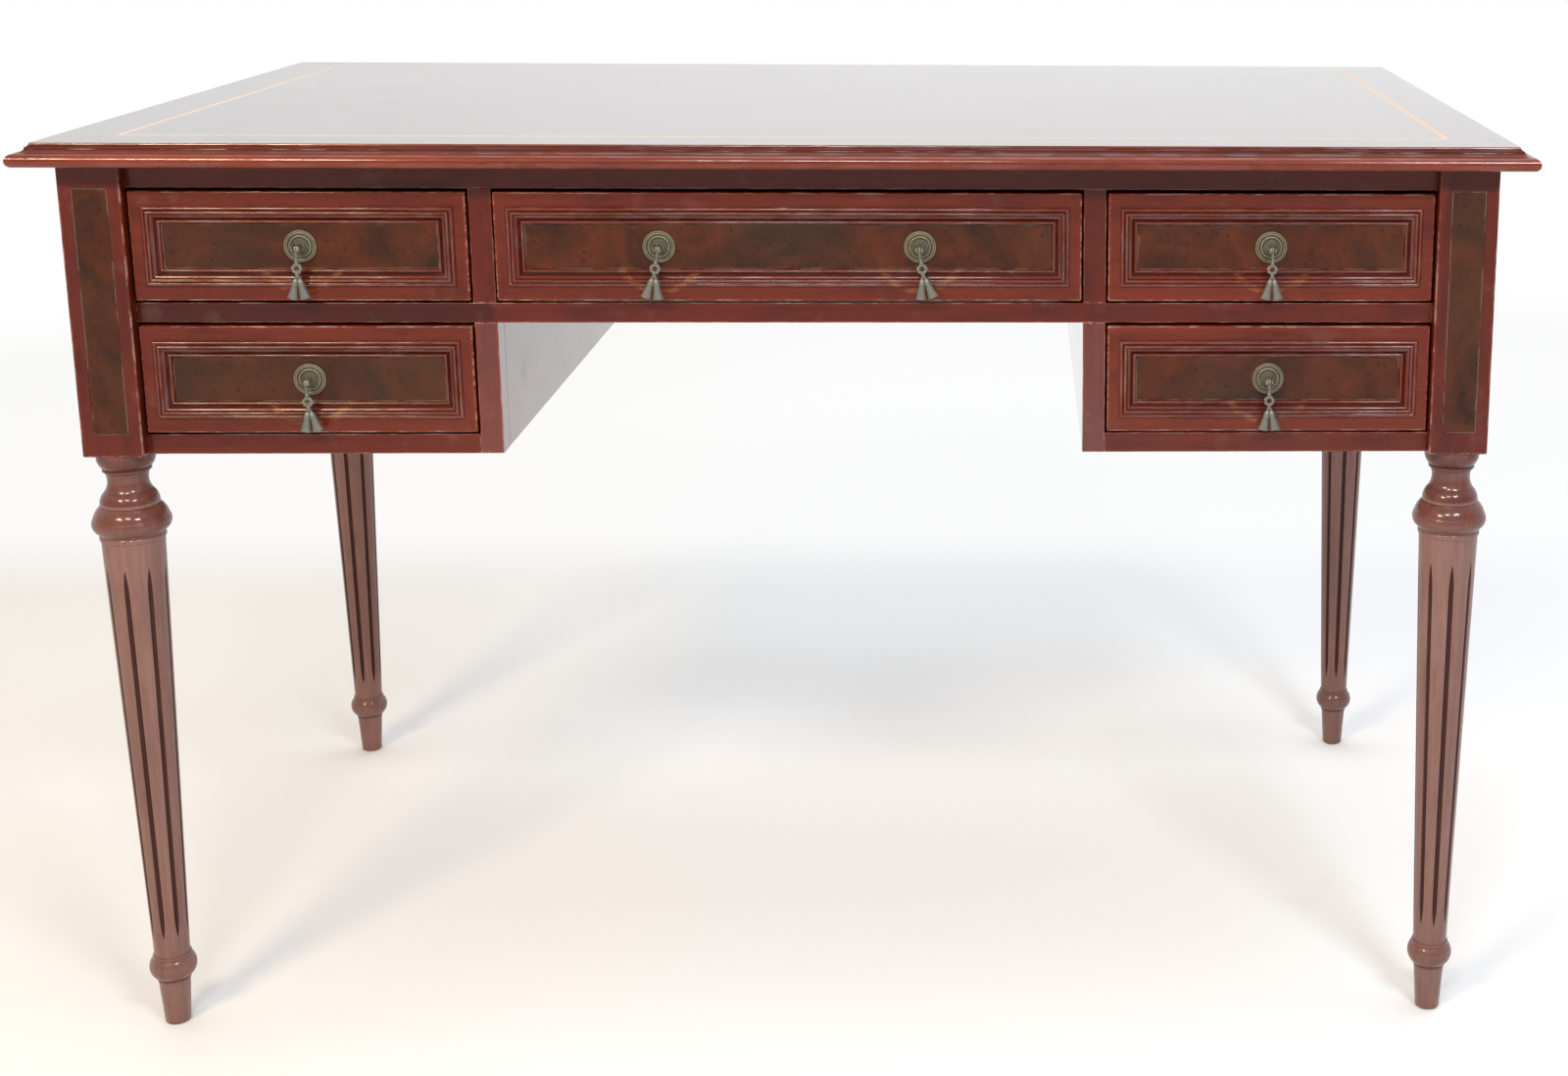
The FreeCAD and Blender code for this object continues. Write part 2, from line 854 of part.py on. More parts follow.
def nut():
    """The six-sided nut that draws the stud tight from inside the drawer, looking up."""
    top = wood_under_field()
    corners = [
        Vector(
            nut_radius * math.cos(math.radians(60 * i)),
            nut_radius * math.sin(math.radians(60 * i)),
            -top - nut_height,
        )
        for i in range(7)
    ]
    body = Part.Face(Part.makePolygon(corners)).extrude(Vector(0, 0, nut_height))
    bore = rod(
        stud_radius + bolt_clearance,
        Vector(0, 0, -top - nut_height - cut_overrun),
        Vector(0, 0, -top + cut_overrun),
    )
    return body.cut(bore)


def wood_under_field():
    """Wood between the field's face and the back of the drawer front."""
    return front_thickness - field_recess


def tassel(lean):
    """One flared skirt, hung from the knot and leaning to a side."""
    hem = Vector(0, 0, -tassel_length)
    across, deep = Vector(tassel_width / 2, 0, 0), Vector(0, tassel_depth / 2, 0)
    if across.Length < deep.Length:
        across, deep = deep, across
    head_ring = Part.Circle(Vector(0, 0, 0), Vector(0, 0, 1), tassel_top_radius)
    hem_ring = Part.Ellipse(hem + across, hem + deep, hem)
    skirt = Part.makeLoft([Part.Wire(ring.toShape()) for ring in (head_ring, hem_ring)], True)
    skirt.rotate(Vector(0, 0, 0), Vector(0, 1, 0), lean)
    return skirt


def drop():
    """The hanging part of a pull, hung about its pin's axis at the origin."""
    half = loop_width / 2
    loop = rod(loop_radius, Vector(-half, 0, 0), Vector(half, 0, 0))
    stem = rod(
        drop_stem_radius, Vector(0, 0, -loop_radius / 2), Vector(0, 0, -drop_stem_length)
    )
    bead = Part.makeSphere(stem_bead_radius, Vector(0, 0, stem_bead_radius - drop_stem_length))
    bow_z = -drop_stem_length - bow_radius
    bow = Part.makeTorus(bow_radius, bow_wire_radius, Vector(0, 0, bow_z), Vector(0, 1, 0))
    skirt_top = -(drop_length - tassel_length * math.cos(math.radians(tassel_spread)))
    tie = rod(tie_radius, Vector(0, 0, bow_z - bow_radius), Vector(0, 0, skirt_top))
    tassels = []
    for side in (-1, 1):
        place = Vector(side * knot_offset, 0, skirt_top)
        knot_up = Vector(0, 0, knot_radius - knot_lap)
        tassels.append(Part.makeSphere(knot_radius, place + knot_up))
        tassels.append(moved(tassel(-side * tassel_spread), place.x, 0, place.z))
    hem = box(
        -tassel_length,
        tassel_length,
        -tassel_length,
        tassel_length,
        -drop_length - tassel_length,
        -drop_length,
    )
    body = loop.fuse([stem, bead, bow, tie] + tassels).cut(hem)
    bore = rod(
        pin_radius + swing_clearance,
        Vector(-half - cut_overrun, 0, 0),
        Vector(half + cut_overrun, 0, 0),
    )
    return body.cut(bore)


def make_pulls(name, middle, floor, pull_places):
    """Back plates with their studs and nuts on one drawer, and its hanging drops."""
    field_y = drawer_face_y + field_recess
    middle_z = floor + drawer_height / 2
    fittings = []
    hanging = drop()
    for number, x in enumerate(pull_places):
        for piece in (rosette(), stud(), nut()):
            fittings.append(moved(facing_front(piece), middle + x, field_y, middle_z))
        end = "" if len(pull_places) == 1 else ("_left", "_right")[number]
        save(
            "pull_" + name + end + "_drop",
            moved(hanging, middle + x, field_y - pin_reach, middle_z),
        )
    save("pull_" + name + "_fittings", *fittings)


def main():
    os.makedirs("parts", exist_ok=True)
    make_top()
    make_blocks()
    make_posts()
    make_legs()
    make_case()
    make_slides()
    for bay in drawer_bays():
        name, middle, half, floor = bay[:4]
        places = (-pull_spacing / 2, pull_spacing / 2) if name == "centre" else (0,)
        make_drawer(name, middle, half, floor, places)
        make_pulls(name, middle, floor, places)


main()
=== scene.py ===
import math

import bmesh
import bpy
from bpy.props import FloatProperty, FloatVectorProperty, IntProperty, PointerProperty
from mathutils import Matrix, Vector


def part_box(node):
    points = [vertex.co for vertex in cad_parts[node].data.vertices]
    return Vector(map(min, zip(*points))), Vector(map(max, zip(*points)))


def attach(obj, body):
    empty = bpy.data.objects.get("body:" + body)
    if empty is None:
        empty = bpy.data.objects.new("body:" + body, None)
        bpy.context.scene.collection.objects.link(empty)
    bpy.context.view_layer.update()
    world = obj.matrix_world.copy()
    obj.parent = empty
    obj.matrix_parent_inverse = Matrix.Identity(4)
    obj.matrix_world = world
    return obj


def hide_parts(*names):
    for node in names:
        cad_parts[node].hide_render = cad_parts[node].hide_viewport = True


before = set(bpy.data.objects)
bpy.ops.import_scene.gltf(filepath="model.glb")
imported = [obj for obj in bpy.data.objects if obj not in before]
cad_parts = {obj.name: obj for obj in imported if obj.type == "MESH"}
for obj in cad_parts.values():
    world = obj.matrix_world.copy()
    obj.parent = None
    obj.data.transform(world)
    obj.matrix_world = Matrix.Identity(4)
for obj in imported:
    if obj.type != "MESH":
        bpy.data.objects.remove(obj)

bl_info = {
    "name": "Fluted-leg writing desk",
    "version": (1, 0, 0),
    "blender": (4, 5, 0),
    "location": "3D View > Sidebar > Desk",
    "description": "Dresses the frame of a mahogany desk with its turned, moulded and cast pieces",
    "category": "Object",
}

# Lengths are in metres, the small ones written as millimetres times MM. Angles are in
# degrees.
MM = 0.001

SIDES = {"left": -1, "right": 1}
DRAWERS = ("left_top", "left_bottom", "centre", "right_top", "right_bottom")
# Each hanging drop with its drawer and how many degrees it leans to the right
DROPS = {
    "left_top": ("left_top", 0),
    "left_bottom": ("left_bottom", 4),
    "centre_left": ("centre", -8),
    "centre_right": ("centre", 9),
    "right_top": ("right_top", 0),
    "right_bottom": ("right_bottom", 1),
}

# Softened arrises, and how far round a point of an outline its wear is judged
POST_ARRIS = 1.2 * MM
RAIL_ARRIS = 0.5 * MM
BURL_PANEL_ARRIS = 0.3 * MM
BURL_FIELD_ARRIS = 0.2 * MM
ARRIS_STEPS = 3
WEAR_REACH = 1.2 * MM
ROSETTE_WEAR_REACH = 1 * MM
# A point that stands out by this share of the reach is fully worn
FULL_WEAR_SHARE = 0.3
# Lengths too small to see: the least inset or width, a hair's breadth, how near points are
# joined, and the least distance between an outline's points
SLIVER = 0.1 * MM
HAIR = 0.01 * MM
JOIN_REACH = 0.002 * MM
TINY = 1e-9
# How worn the points of the pulls' pieces are
WORN_SKIN = 0.5
# The fork's cheeks are worn past full, to bright bare metal: partly rubbing, partly a painted
# highlight.
CHEEK_WEAR_AND_HIGHLIGHT = 1.4
WORN_KNOT = 0.85
WORN_BEAD = 0.8
WORN_HOOP = 0.65
# Depths of the fine relief in each surface
WOOD_RELIEF = 0.08 * MM
TOP_RELIEF = 0.05 * MM
BURL_RELIEF = 0.08 * MM
INLAY_RELIEF = 0.03 * MM
INSIDE_RELIEF = 0.12 * MM
METAL_RELIEF = 0.10 * MM
STEEL_RELIEF = 0.05 * MM
# Angles from which an edge stays sharp
FRAME_SHARP, LEG_SHARP, FITTINGS_SHARP, DROP_SHARP = 35, 40, 40, 50

# Top edge: strip, mould and its outline as shares of mould width and top thickness
EDGE_STRIP_WIDTH = 40 * MM
EDGE_MOULD_WIDTH = 14.5 * MM
EDGE_SHARES = (
    (0.98, 0.94, 0.86, 0.83),
    (0.80, 0.83),
    (0.80, 0.76),
    (0.59, 0.60, 0.29, 0.575),
    (0.0, 0.29, 0.22, 0.0),
)

# Drawer fronts: the moulding's outline as shares of its width, and of its rise over the
# front or, where negative, of the field's recess
MOULDING_WIDTH = 14 * MM
MOULDING_RISE = 3.4 * MM
MOULDING_LIP = 4 * MM
POCKET_DEPTH = 6 * MM
FIELD_RECESS = 2.5 * MM
MOULDING_SHARES = (
    (0.0, 0.20),
    (0.04, 0.58, 0.20, 0.62),
    (0.22, 0.50),
    (0.27, 0.50),
    (0.28, 0.86),
    (0.35, 1.0, 0.43, 0.86),
    (0.46, 0.70),
    (0.60, 0.50, 0.70, -0.25),
    (0.76, -0.50),
    (0.80, -0.50),
    (0.88, 0.02, 0.97, -0.60),
    (1.0, -1.0),
)

# Leg from the floor up. Each row is a step's rise, the radius halfway where the step is
# round, and the radius at its end, all in millimetres, and how faded its polish is.
# The shaft takes what rise is left.
FOOT_STEPS = (
    (0, None, 8.6, 1),
    (2.0, 10.0, 10.6, 1),
    (39.0, None, 13.1, 1),
    (0, None, 13.8, 0.6),
    (2.0, None, 13.8, 0.6),
    (20.0, 19.4, 15.6, 0.8),
    (2.0, None, 15.6, 1),
    (0, None, 14.5, 1),
)
SHAFT_TOP_RADIUS = 24.8
HEAD_STEPS = (
    (0, None, 25.4, 1),
    (4.0, 26.0, 25.4, 1),
    (3.0, 26.0, 27.5, 0.6),
    (12.0, 31.0, 29.7, 0.45),
    (10.5, 27.5, 22.9, 0.3),
    (0, None, 23.3, 0.9),
    (2.0, None, 23.3, 0.9),
    (9.5, 22.2, 19.0, 0.25),
    (17.7, 16.0, 18.0, 0.4),
    (0, None, 19.2, 0.3),
    (2.8, None, 19.2, 0.3),
    (8.2, 22.0, 23.0, 0.1),
    (5.3, None, 23.0, 0.4),
)
FLUTE_START = 17 * MM
FLUTE_STOP = 20.5 * MM
FLUTE_TIP = 25 * MM
FLUTE_TIP_STEPS = 10
FLUTE_RUN_STEPS = 30
# Columns of the mesh to one flute and its land, and how many times more they are than those
# of the flute alone
FLUTE_COLUMNS = 24
COLUMNS_TO_FLUTE = 2.4
# Wear of the flutes' lips: its most, and its growth with each metre of a flute's depth
LIP_WORN = 0.75
LIP_WORN_TO_DEPTH = 900

# Pulls: rosette outline from its rim inwards, as shares of radius and height, and its two
# rings of beads, as shares of the same and the beads' radius
ROSETTE_RADIUS = 13 * MM
ROSETTE_HEIGHT = 3 * MM
ROSETTE_SHARES = (
    (1.0, 0.30),
    (0.96, 0.66, 0.89, 0.48),
    (0.84, 0.78, 0.77, 0.46),
    (0.72, 0.30),
    (0.64, 0.74, 0.55, 0.42),
    (0.44, 0.34, 0.34, 0.62),
    (0.30, 1.0),
)
INNER_BEADS = (0.61, 0.62, 0.68 * MM)
RIM_BEADS = (0.925, 0.52, 0.42 * MM)
RIM_BEAD_COUNT = 60
ROSETTE_SIDES = 72
BEAD_SIDES, BEAD_RINGS = 10, 6
# Stud with its neck, forked head, pin and nut
PIN_REACH = 13 * MM
PIN_RADIUS = 1 * MM
PIN_END = 0.25 * MM
NECK_RADIUS = 2.7 * MM
NECK_FOOT = 0.8 * MM
NECK_SIDES = 24
# The neck over its waist: out from its radius and up from the fork's web, in millimetres
NECK_STEPS = ((0.3, 0), (0.5, 0.8), (-0.2, 1.9))
FORK_RADIUS = 3.4 * MM
FORK_CHEEK = 2.2 * MM
FORK_SLOT = 3 * MM
FORK_ROOM = 2.2 * MM
FORK_EASE = 0.6 * MM
FORK_STEPS = 14
CHEEK_STEPS = 6
STUD_RADIUS = 2 * MM
STUD_TAIL = 21.7 * MM
NUT_RADIUS = 4 * MM
NUT_HEIGHT = 3 * MM
NUT_BEVEL = 0.3 * MM
NUT_SIDES = 6
NUT_BITE = 0.5 * MM
BAR_SIDES = 12
BAR_BEVEL = 0.15 * MM
WOOD_UNDER_FIELD = 17.5 * MM
# Drop with its loop, stem, bow and two tassels. Sides are counted round a ring and round
# its section.
LOOP_RADIUS = 3 * MM
LOOP_WIDTH = 2.4 * MM
LOOP_PLAY = 0.1 * MM
LOOP_SIDES = (36, 14)
STEM_RADIUS = 1.2 * MM
STEM_LENGTH = 13 * MM
STEM_SIDES = 16
BEAD_RADIUS = 1.8 * MM
BOW_RADIUS = 3.1 * MM
BOW_WIRE = 1.29 * MM
BOW_STRAND = 0.21 * MM
BOW_TWIST = 3.5
BOW_SIDES = (64, 16)
CORD_RADIUS = 1.15 * MM
CORD_BEVEL = 0.4 * MM
CORD_OFFSET = 0.5 * MM
KNOT_RADIUS = 2.4 * MM
KNOT_OFFSET = 2.2 * MM
KNOT_SIDES = 20
KNOT_LEVELS = (-0.6 * MM, 1.3 * MM, 2.7 * MM, 3.6 * MM, 3.9 * MM)
DROP_LENGTH = 40.5 * MM
TASSEL_LENGTH = 13 * MM
TASSEL_TOP_RADIUS = 2.2 * MM
TASSEL_WIDTH = 8.2 * MM
TASSEL_DEPTH = 5.6 * MM
TASSEL_SPREAD = 13
TASSEL_STEPS = 12
TASSEL_FLARE = 1.25
PLEAT_SHARE = 0.045
PLEAT_COLUMNS = 5
BAND_SIZE = (0.5 * MM, 0.6 * MM)
BAND_OUT = 0.15 * MM
BAND_SIDES = (28, 8)
BAND_LEVELS = (-0.4 * MM, -1.5 * MM)
LEAN_LENGTH = 5 * MM

# Arc that a swinging drop rubs into the wood
RUB_ARC_RADIUS = 36 * MM
RUB_ARC_WIDTH = 4 * MM
RUB_ARC_FADE = (8 * MM, 16 * MM)

# Painted shade on the middle rail: it is darker beside the kneehole, beyond these distances
# from the middle, and most of all towards the left
RAIL_SHADE_START = (235 * MM, 245 * MM)
RAIL_SHADE_LEFTWARDS = (600 * MM, -200 * MM)

# Colours of age and wear, and a rubbed arris line that is partly a painted highlight
RUBBED_AND_LIT_LINE = (0.40, 0.26, 0.21)
BLOOM = (0.42, 0.33, 0.31)
BURL_GREEN = (0.040, 0.029, 0.016)
BURL_DUST = (0.22, 0.19, 0.15)
BURL_RIM = (0.34, 0.31, 0.25)
OLD_INLAY = (0.38, 0.17, 0.06)
OLD_INSIDE = (0.16, 0.085, 0.045)
WARM_METAL = (0.17, 0.13, 0.055)
METAL_TINTS = {"plate": (0.90, 0.82, 0.68), "drop": (1.04, 1.08, 1.16)}
BRIGHT_STEEL = (0.42, 0.41, 0.39)
DULL_STEEL = (0.20, 0.17, 0.14)

# Floor: a painted warm light makes it browner on the left, and it is browner in its grime; a faint
# light lifts it, and it turns white between two distances from the middle, and between two behind the
# desk
WHITE = (1, 1, 1)
FLOOR_WARM_LIGHT = (0.66, 0.61, 0.545)
FLOOR_GRIME = (0.45, 0.38, 0.28)
FLOOR_LIFT = (1, 0.985, 0.965)
FLOOR_LIFT_STRENGTH = 0.02
FLOOR_FADE = (1.6, 3.4)
FLOOR_FADE_BEHIND = (0.8, 1.15)
FLOOR_SIDES = 96
# Light of the room in front of the desk, as a share of the white behind it
ROOM_SHARE = 0.16

# Lamps: place, width and height, power and colour. All of them look at one point.
LAMP_TARGET = (0, 0, 0.45)
LAMPS = {
    "warm_lamp": ((-1.35, -2.3, 2.1), (0.7, 0.3), 46, (1, 0.76, 0.5)),
    "front_lamp": ((-0.2, -2.6, 2.5), (0.7, 0.3), 30, (1, 0.97, 0.93)),
    "right_lamp": ((1.15, -2.2, 2.2), (0.7, 0.3), 37, (0.90, 0.94, 1)),
    "overhead_lamp": ((0.2, 0.2, 3.2), (2.6, 2.0), 30, WHITE),
}

# Camera, fitted to points of the photograph
CAMERA_PLACE = (0.1795, -2.0559, 1.0010)
CAMERA_TURN = (77.207, -0.459, -2.118)
CAMERA_RANGE = (0.05, 60)
FOCAL_PIXELS = 2225.4
AXIS_PIXEL = (1117, 356)
PHOTO_WIDTH, PHOTO_HEIGHT = 1600, 1098
SENSOR_WIDTH = 36

# Turns what looks up to the front
TO_FRONT = Matrix.Rotation(math.pi / 2, 4, "X")


def measure(name, description, default):
    """A length that a user can change."""
    return FloatProperty(name=name, description=description, default=default, unit="LENGTH")


def swatch(name, description, *default):
    """A colour that a user can change."""
    return FloatVectorProperty(name=name, description=description, default=default, subtype="COLOR")


class DeskSizes(bpy.types.PropertyGroup):
    """Sizes of the detail that is added to the frame."""

    arris: measure("Arris", "Round of a square edge", 0.8 * MM)
    front_round: measure("Front round", "Round of a drawer front's edges", 1.2 * MM)
    rub_reach: measure("Rub reach", "How far wear runs in from an edge", 3.5 * MM)
    flutes: IntProperty(name="Flutes", description="Flutes round a leg", default=8, min=3)
    flute_width: measure("Flute width", "Width of a flute", 4.2 * MM)
    flute_depth: measure("Flute depth", "Depth of a flute", 2.0 * MM)
    beads: IntProperty(name="Beads", description="Beads in a rosette's inner ring", default=26)
    pleats: IntProperty(name="Pleats", description="Pleats round a tassel skirt", default=13)


class DeskFinish(bpy.types.PropertyGroup):
    """Colours and condition of the desk's surfaces."""

    case_dark: swatch("Case, dark", "Dark grain of the case", 0.05, 0.0044, 0.0016)
    case_light: swatch("Case, light", "Light grain of the case", 0.125, 0.0155, 0.0055)
    drawer_dark: swatch("Drawers, dark", "Dark grain of the drawer fronts", 0.062, 0.006, 0.002)
    drawer_light: swatch("Drawers, light", "Light grain of the drawer fronts", 0.15, 0.0205, 0.0062)
    edge_dark: swatch("Edge, dark", "Dark grain of the top's moulded edge", 0.085, 0.009, 0.0042)
    edge_light: swatch("Edge, light", "Light grain of the top's moulded edge", 0.21, 0.035, 0.013)
    leg_dark: swatch("Legs, dark", "Dark grain of the legs", 0.055, 0.010, 0.007)
    leg_light: swatch("Legs, light", "Light grain of the legs", 0.14, 0.032, 0.023)
    faded: swatch("Faded", "Dry, faded polish on the legs' shafts", 0.215, 0.112, 0.092)
    top_dark: swatch("Top, dark", "Dark grain of the top", 0.02, 0.004, 0.0035)
    top_light: swatch("Top, light", "Light grain of the top", 0.05, 0.011, 0.009)
    burl_dark: swatch("Burl, dark", "Dark clouds of the burl", 0.022, 0.008, 0.004)
    burl_light: swatch("Burl, light", "Warm clouds of the burl", 0.108, 0.024, 0.0075)
    bare_wood: swatch("Bare wood", "Wood where the finish is rubbed off", 0.5, 0.2, 0.075)
    inlay: swatch("Inlay", "Line inlaid in the top", 0.70, 0.38, 0.14)
    inside: swatch("Inside wood", "Plain wood inside the case", 0.40, 0.24, 0.12)
    metal: swatch("Metal", "Bright metal of the pulls", 0.31, 0.295, 0.245)
    patina: swatch("Patina", "Dull green-grey patina of the pulls", 0.085, 0.092, 0.075)
    wear: FloatProperty(
        name="Wear", description="How far the edges are worn", default=0.5, min=0, max=1,
        subtype="FACTOR",
    )


class DeskStage(bpy.types.PropertyGroup):
    """The light on the desk and the floor under it."""

    lamp_power: FloatProperty(
        name="Lamps", description="Scales the power of all lamps", default=1.0, min=0
    )
    floor_colour: swatch("Floor", "Colour of the floor", 0.81, 0.83, 0.85)
    floor_radius: measure("Floor radius", "Radius of the floor", 14.0)


class Value:
    """A number in a node tree. Python sums on it add Math nodes."""

    def __init__(self, graph, socket):
        self.graph, self.socket = graph, socket

    def math(self, operation, *others, clamp=False):
        return self.graph.math(operation, self, *others, clamp=clamp)

    def __add__(self, other):
        return self.math("ADD", other)

    def __sub__(self, other):
        return self.math("SUBTRACT", other)

    def __mul__(self, other):
        return self.math("MULTIPLY", other)

    def __truediv__(self, other):
        return self.math("DIVIDE", other)

    def __mod__(self, other):
        return self.math("FLOORED_MODULO", other)

    def __rsub__(self, other):
        return self.graph.math("SUBTRACT", other, self)

    def __rtruediv__(self, other):
        return self.graph.math("DIVIDE", other, self)

    __radd__ = __add__
    __rmul__ = __mul__

    def clamped(self):
        return self.math("ADD", 0, clamp=True)

    def step(self, low, high):
        """0 below low, 1 above high and smooth between; high may be the lower one."""
        share = (self - low).math("DIVIDE", high - low, clamp=True)
        return share * share * (3 - 2 * share)


class Graph:
    """Adds nodes to one node tree."""

    def __init__(self, tree):
        self.tree = tree

    def node(self, kind, sockets=(), **settings):
        """Adds a node with its settings, then with the values or links of its sockets."""
        made = self.tree.nodes.new(kind)
        for name, value in settings.items():
            setattr(made, name, value)
        for key, value in dict(sockets).items():
            self.feed(made.inputs[key], value)
        return made

    def first(self, kind, sockets=(), **settings):
        """The first output of a new node."""
        return self.node(kind, sockets, **settings).outputs[0]

    def value(self, kind, sockets=(), **settings):
        """The first output of a new node, as a number to count with."""
        return Value(self, self.first(kind, sockets, **settings))

    def feed(self, socket, value):
        """Sets a socket to a constant, or links it to a value or another socket."""
        value = value.socket if isinstance(value, Value) else value
        if isinstance(value, bpy.types.NodeSocket):
            self.tree.links.new(value, socket)
        elif socket.type == "RGBA":
            socket.default_value = (*value, 1)
        else:
            socket.default_value = value

    def math(self, operation, *values, clamp=False):
        sockets = dict(enumerate(values))
        return self.value("ShaderNodeMath", sockets, operation=operation, use_clamp=clamp)

    def combine(self, x, y, z):
        return self.first("ShaderNodeCombineXYZ", {"X": x, "Y": y, "Z": z})

    def separate(self, vector):
        made = self.node("ShaderNodeSeparateXYZ", {0: vector})
        return [Value(self, socket) for socket in made.outputs]

    def blend(self, factor, first, second):
        """The first colour where the factor is 0, the second where it is 1."""
        made = self.node("ShaderNodeMix", {0: factor, 6: first, 7: second}, data_type="RGBA")
        return made.outputs[2]


class Surface(Graph):
    """The node tree of one material, with its shader and the colour laid on so far."""

    def __init__(self, name):
        self.material = bpy.data.materials.new(name)
        self.material.use_nodes = True
        super().__init__(self.material.node_tree)
        self.tree.nodes.clear()
        self.shader = self.node("ShaderNodeBsdfPrincipled")
        self.output = self.node("ShaderNodeOutputMaterial", {"Surface": self.shader.outputs[0]})
        self.place = self.node("ShaderNodeTexCoord").outputs["Object"]
        self.colour = None

    def set(self, **sockets):
        """Feeds the shader's sockets; an underscore stands for a space."""
        for key, value in sockets.items():
            self.feed(self.shader.inputs[key.replace("_", " ")], value)

    def bump(self, height, distance, strength=1.0):
        sockets = {"Height": height, "Distance": distance, "Strength": strength}
        self.set(Normal=self.first("ShaderNodeBump", sockets))

    def cover(self, share, colour):
        """Lays a colour over what is there, where and as far as the share says."""
        self.colour = self.blend(share, self.colour, colour)

    def noise(self, scale, detail=3.0, roughness=0.55, distortion=0.0, vector=None):
        """Clouds over the whole piece."""
        vector = self.place if vector is None else vector
        sockets = {"Vector": vector, "Scale": scale, "Detail": detail}
        sockets.update({"Roughness": roughness, "Distortion": distortion})
        return self.value("ShaderNodeTexNoise", sockets)

    def streaks(self, grain, scale, stretch, **looks):
        """The same noise, drawn out along the grain's axis."""
        factors = [scale / stretch if axis == grain else scale for axis in "XYZ"]
        drawn = self.first("ShaderNodeMapping", {"Vector": self.place, "Scale": factors})
        return self.noise(1.0, vector=drawn, **looks)

    def attribute(self, name):
        return Value(self, self.node("ShaderNodeAttribute", attribute_name=name).outputs["Fac"])


def times(colour, factor):
    """A colour made lighter or darker."""
    return [part * factor for part in colour]


def settled(function):
    """Makes each material once for each set of arguments. The function is handed a new
    surface and the desk's finishes."""

    def find(*arguments):
        name = "_".join(("desk", function.__name__, *arguments))
        if name not in bpy.data.materials:
            function(Surface(name), bpy.context.scene.desk_finish, *arguments)
        return bpy.data.materials[name]

    return find


def rubbed_arc(surface, drawer):
    """Marks the arcs that a drawer's swinging drops have rubbed."""
    x, _, z = surface.separate(surface.place)
    marks = 0
    for drop, (place, _) in DROPS.items():
        if place != drawer:
            continue
        low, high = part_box(f"pull_{drop}_drop")
        across = x - (low.x + high.x) / 2
        down = high.z - LOOP_RADIUS - z
        reach = (across * across + down * down).math("SQRT")
        arc = (1 - (reach - RUB_ARC_RADIUS).math("ABSOLUTE") / RUB_ARC_WIDTH).clamped()
        marks = arc.step(0, 0.7) * down.step(*RUB_ARC_FADE) + marks
    return marks.clamped()


def polished_wood(
    surface, finish, kind, grain, gloss, chips_from, lighter=1.0, coat=0.3, edge_line=0.5,
    patchy=0.0, drawer=None, shade=0.0, relief=1.0,
):
    """Mahogany under old varnish: streaks, pores, rubbed edges and chips to the bare wood.
    Hollows get painted shade, and so does the rail where a shade is asked for; the pale line
    on worn arrises is partly a painted highlight, and a patchy polish breaks the glints."""
    dark = getattr(finish, kind + "_dark")
    light = times(getattr(finish, kind + "_light"), lighter)
    worn = surface.attribute("worn")
    flow = surface.streaks(grain, 16, 14, detail=4, distortion=0.6)
    streak = surface.streaks(grain, 260, 26, detail=4, roughness=0.65)
    pores = surface.streaks(grain, 1500, 22, detail=2).step(0.60, 0.72)
    cloud = surface.noise(7)
    tone = (flow * 0.9 + streak * 0.75 + cloud * 0.4 - 0.52).clamped()
    surface.colour = surface.blend(tone, dark, light)
    mottle = surface.streaks(grain, 40, 3, detail=5, roughness=0.7).step(0.46, 0.68)
    surface.cover(mottle * 0.45, times(dark, 0.55))
    faded = surface.attribute("faded") * (0.75 + cloud * 0.35)
    dry = surface.blend(tone, times(finish.faded, 0.6), times(finish.faded, 1.35))
    surface.cover(faded * (1 - mottle * 0.22), dry)
    surface.cover(pores * 0.28, times(dark, 0.35))

    # Painted shade: the rail between two drawers is darkened, most of all towards the left.
    if shade:
        x = surface.separate(surface.place)[0]
        between = x.math("ABSOLUTE").step(*RAIL_SHADE_START) * x.step(*RAIL_SHADE_LEFTWARDS)
        surface.cover(between * shade, times(dark, 0.4))

    rubbed = worn.step(0.35, 1.0) * (cloud * 1.6 - 0.3).clamped() * finish.wear
    surface.cover(rubbed * 0.55, times(light, 2.2))
    # Painted shade: hollows, creases and the flutes' floors are darkened.
    hollow = surface.attribute("hollow").step(0.05, 0.6)
    surface.cover(hollow * 0.9, times(dark, 0.5))
    chip_noise = surface.streaks(grain, 230, 4, detail=5, roughness=0.7)
    # A pale line on worn arrises: partly rubbed finish, partly a painted highlight where the arris
    # catches the light.
    line = worn.step(0.9, 1.0) * chip_noise.step(0.46, 0.62) * edge_line
    surface.cover(line, RUBBED_AND_LIT_LINE)
    region = surface.noise(11, detail=2).step(0.42, 0.66)
    chips = (worn * 0.5 + chip_noise * 0.62 + region * 0.2).step(chips_from, chips_from + 0.06)
    if drawer:
        arc = rubbed_arc(surface, drawer) * chip_noise.step(0.42, 0.62)
        surface.cover(arc * 0.35, times(finish.bare_wood, 0.7))
    surface.cover(chips * 0.9, finish.bare_wood)

    smear = surface.streaks(grain, 30, 2.5, detail=4)
    dull = surface.noise(38).step(0.58, 0.75)
    surface.cover(dull * 0.04, BLOOM)
    patch = surface.streaks(grain, 130, 3.5, detail=4, roughness=0.6).step(0.44, 0.58)
    lost = (chips + faded * 0.35 + hollow * 0.5 + (1 - patch) * patchy).clamped()
    surface.set(
        Base_Color=surface.colour,
        Roughness=(gloss + smear * 0.16 + lost * 0.3 + dull * 0.10).clamped(),
        Specular_IOR_Level=0.16,
        Coat_Weight=(coat - lost * coat).clamped(),
        Coat_Roughness=0.08,
    )
    surface.bump(streak * 0.2 - pores * 0.2 - chips * 1.2 + smear * 0.5, WOOD_RELIEF * relief)


@settled
def case_wood(surface, finish, grain):
    polished_wood(surface, finish, "case", grain, gloss=0.26, chips_from=1.14)


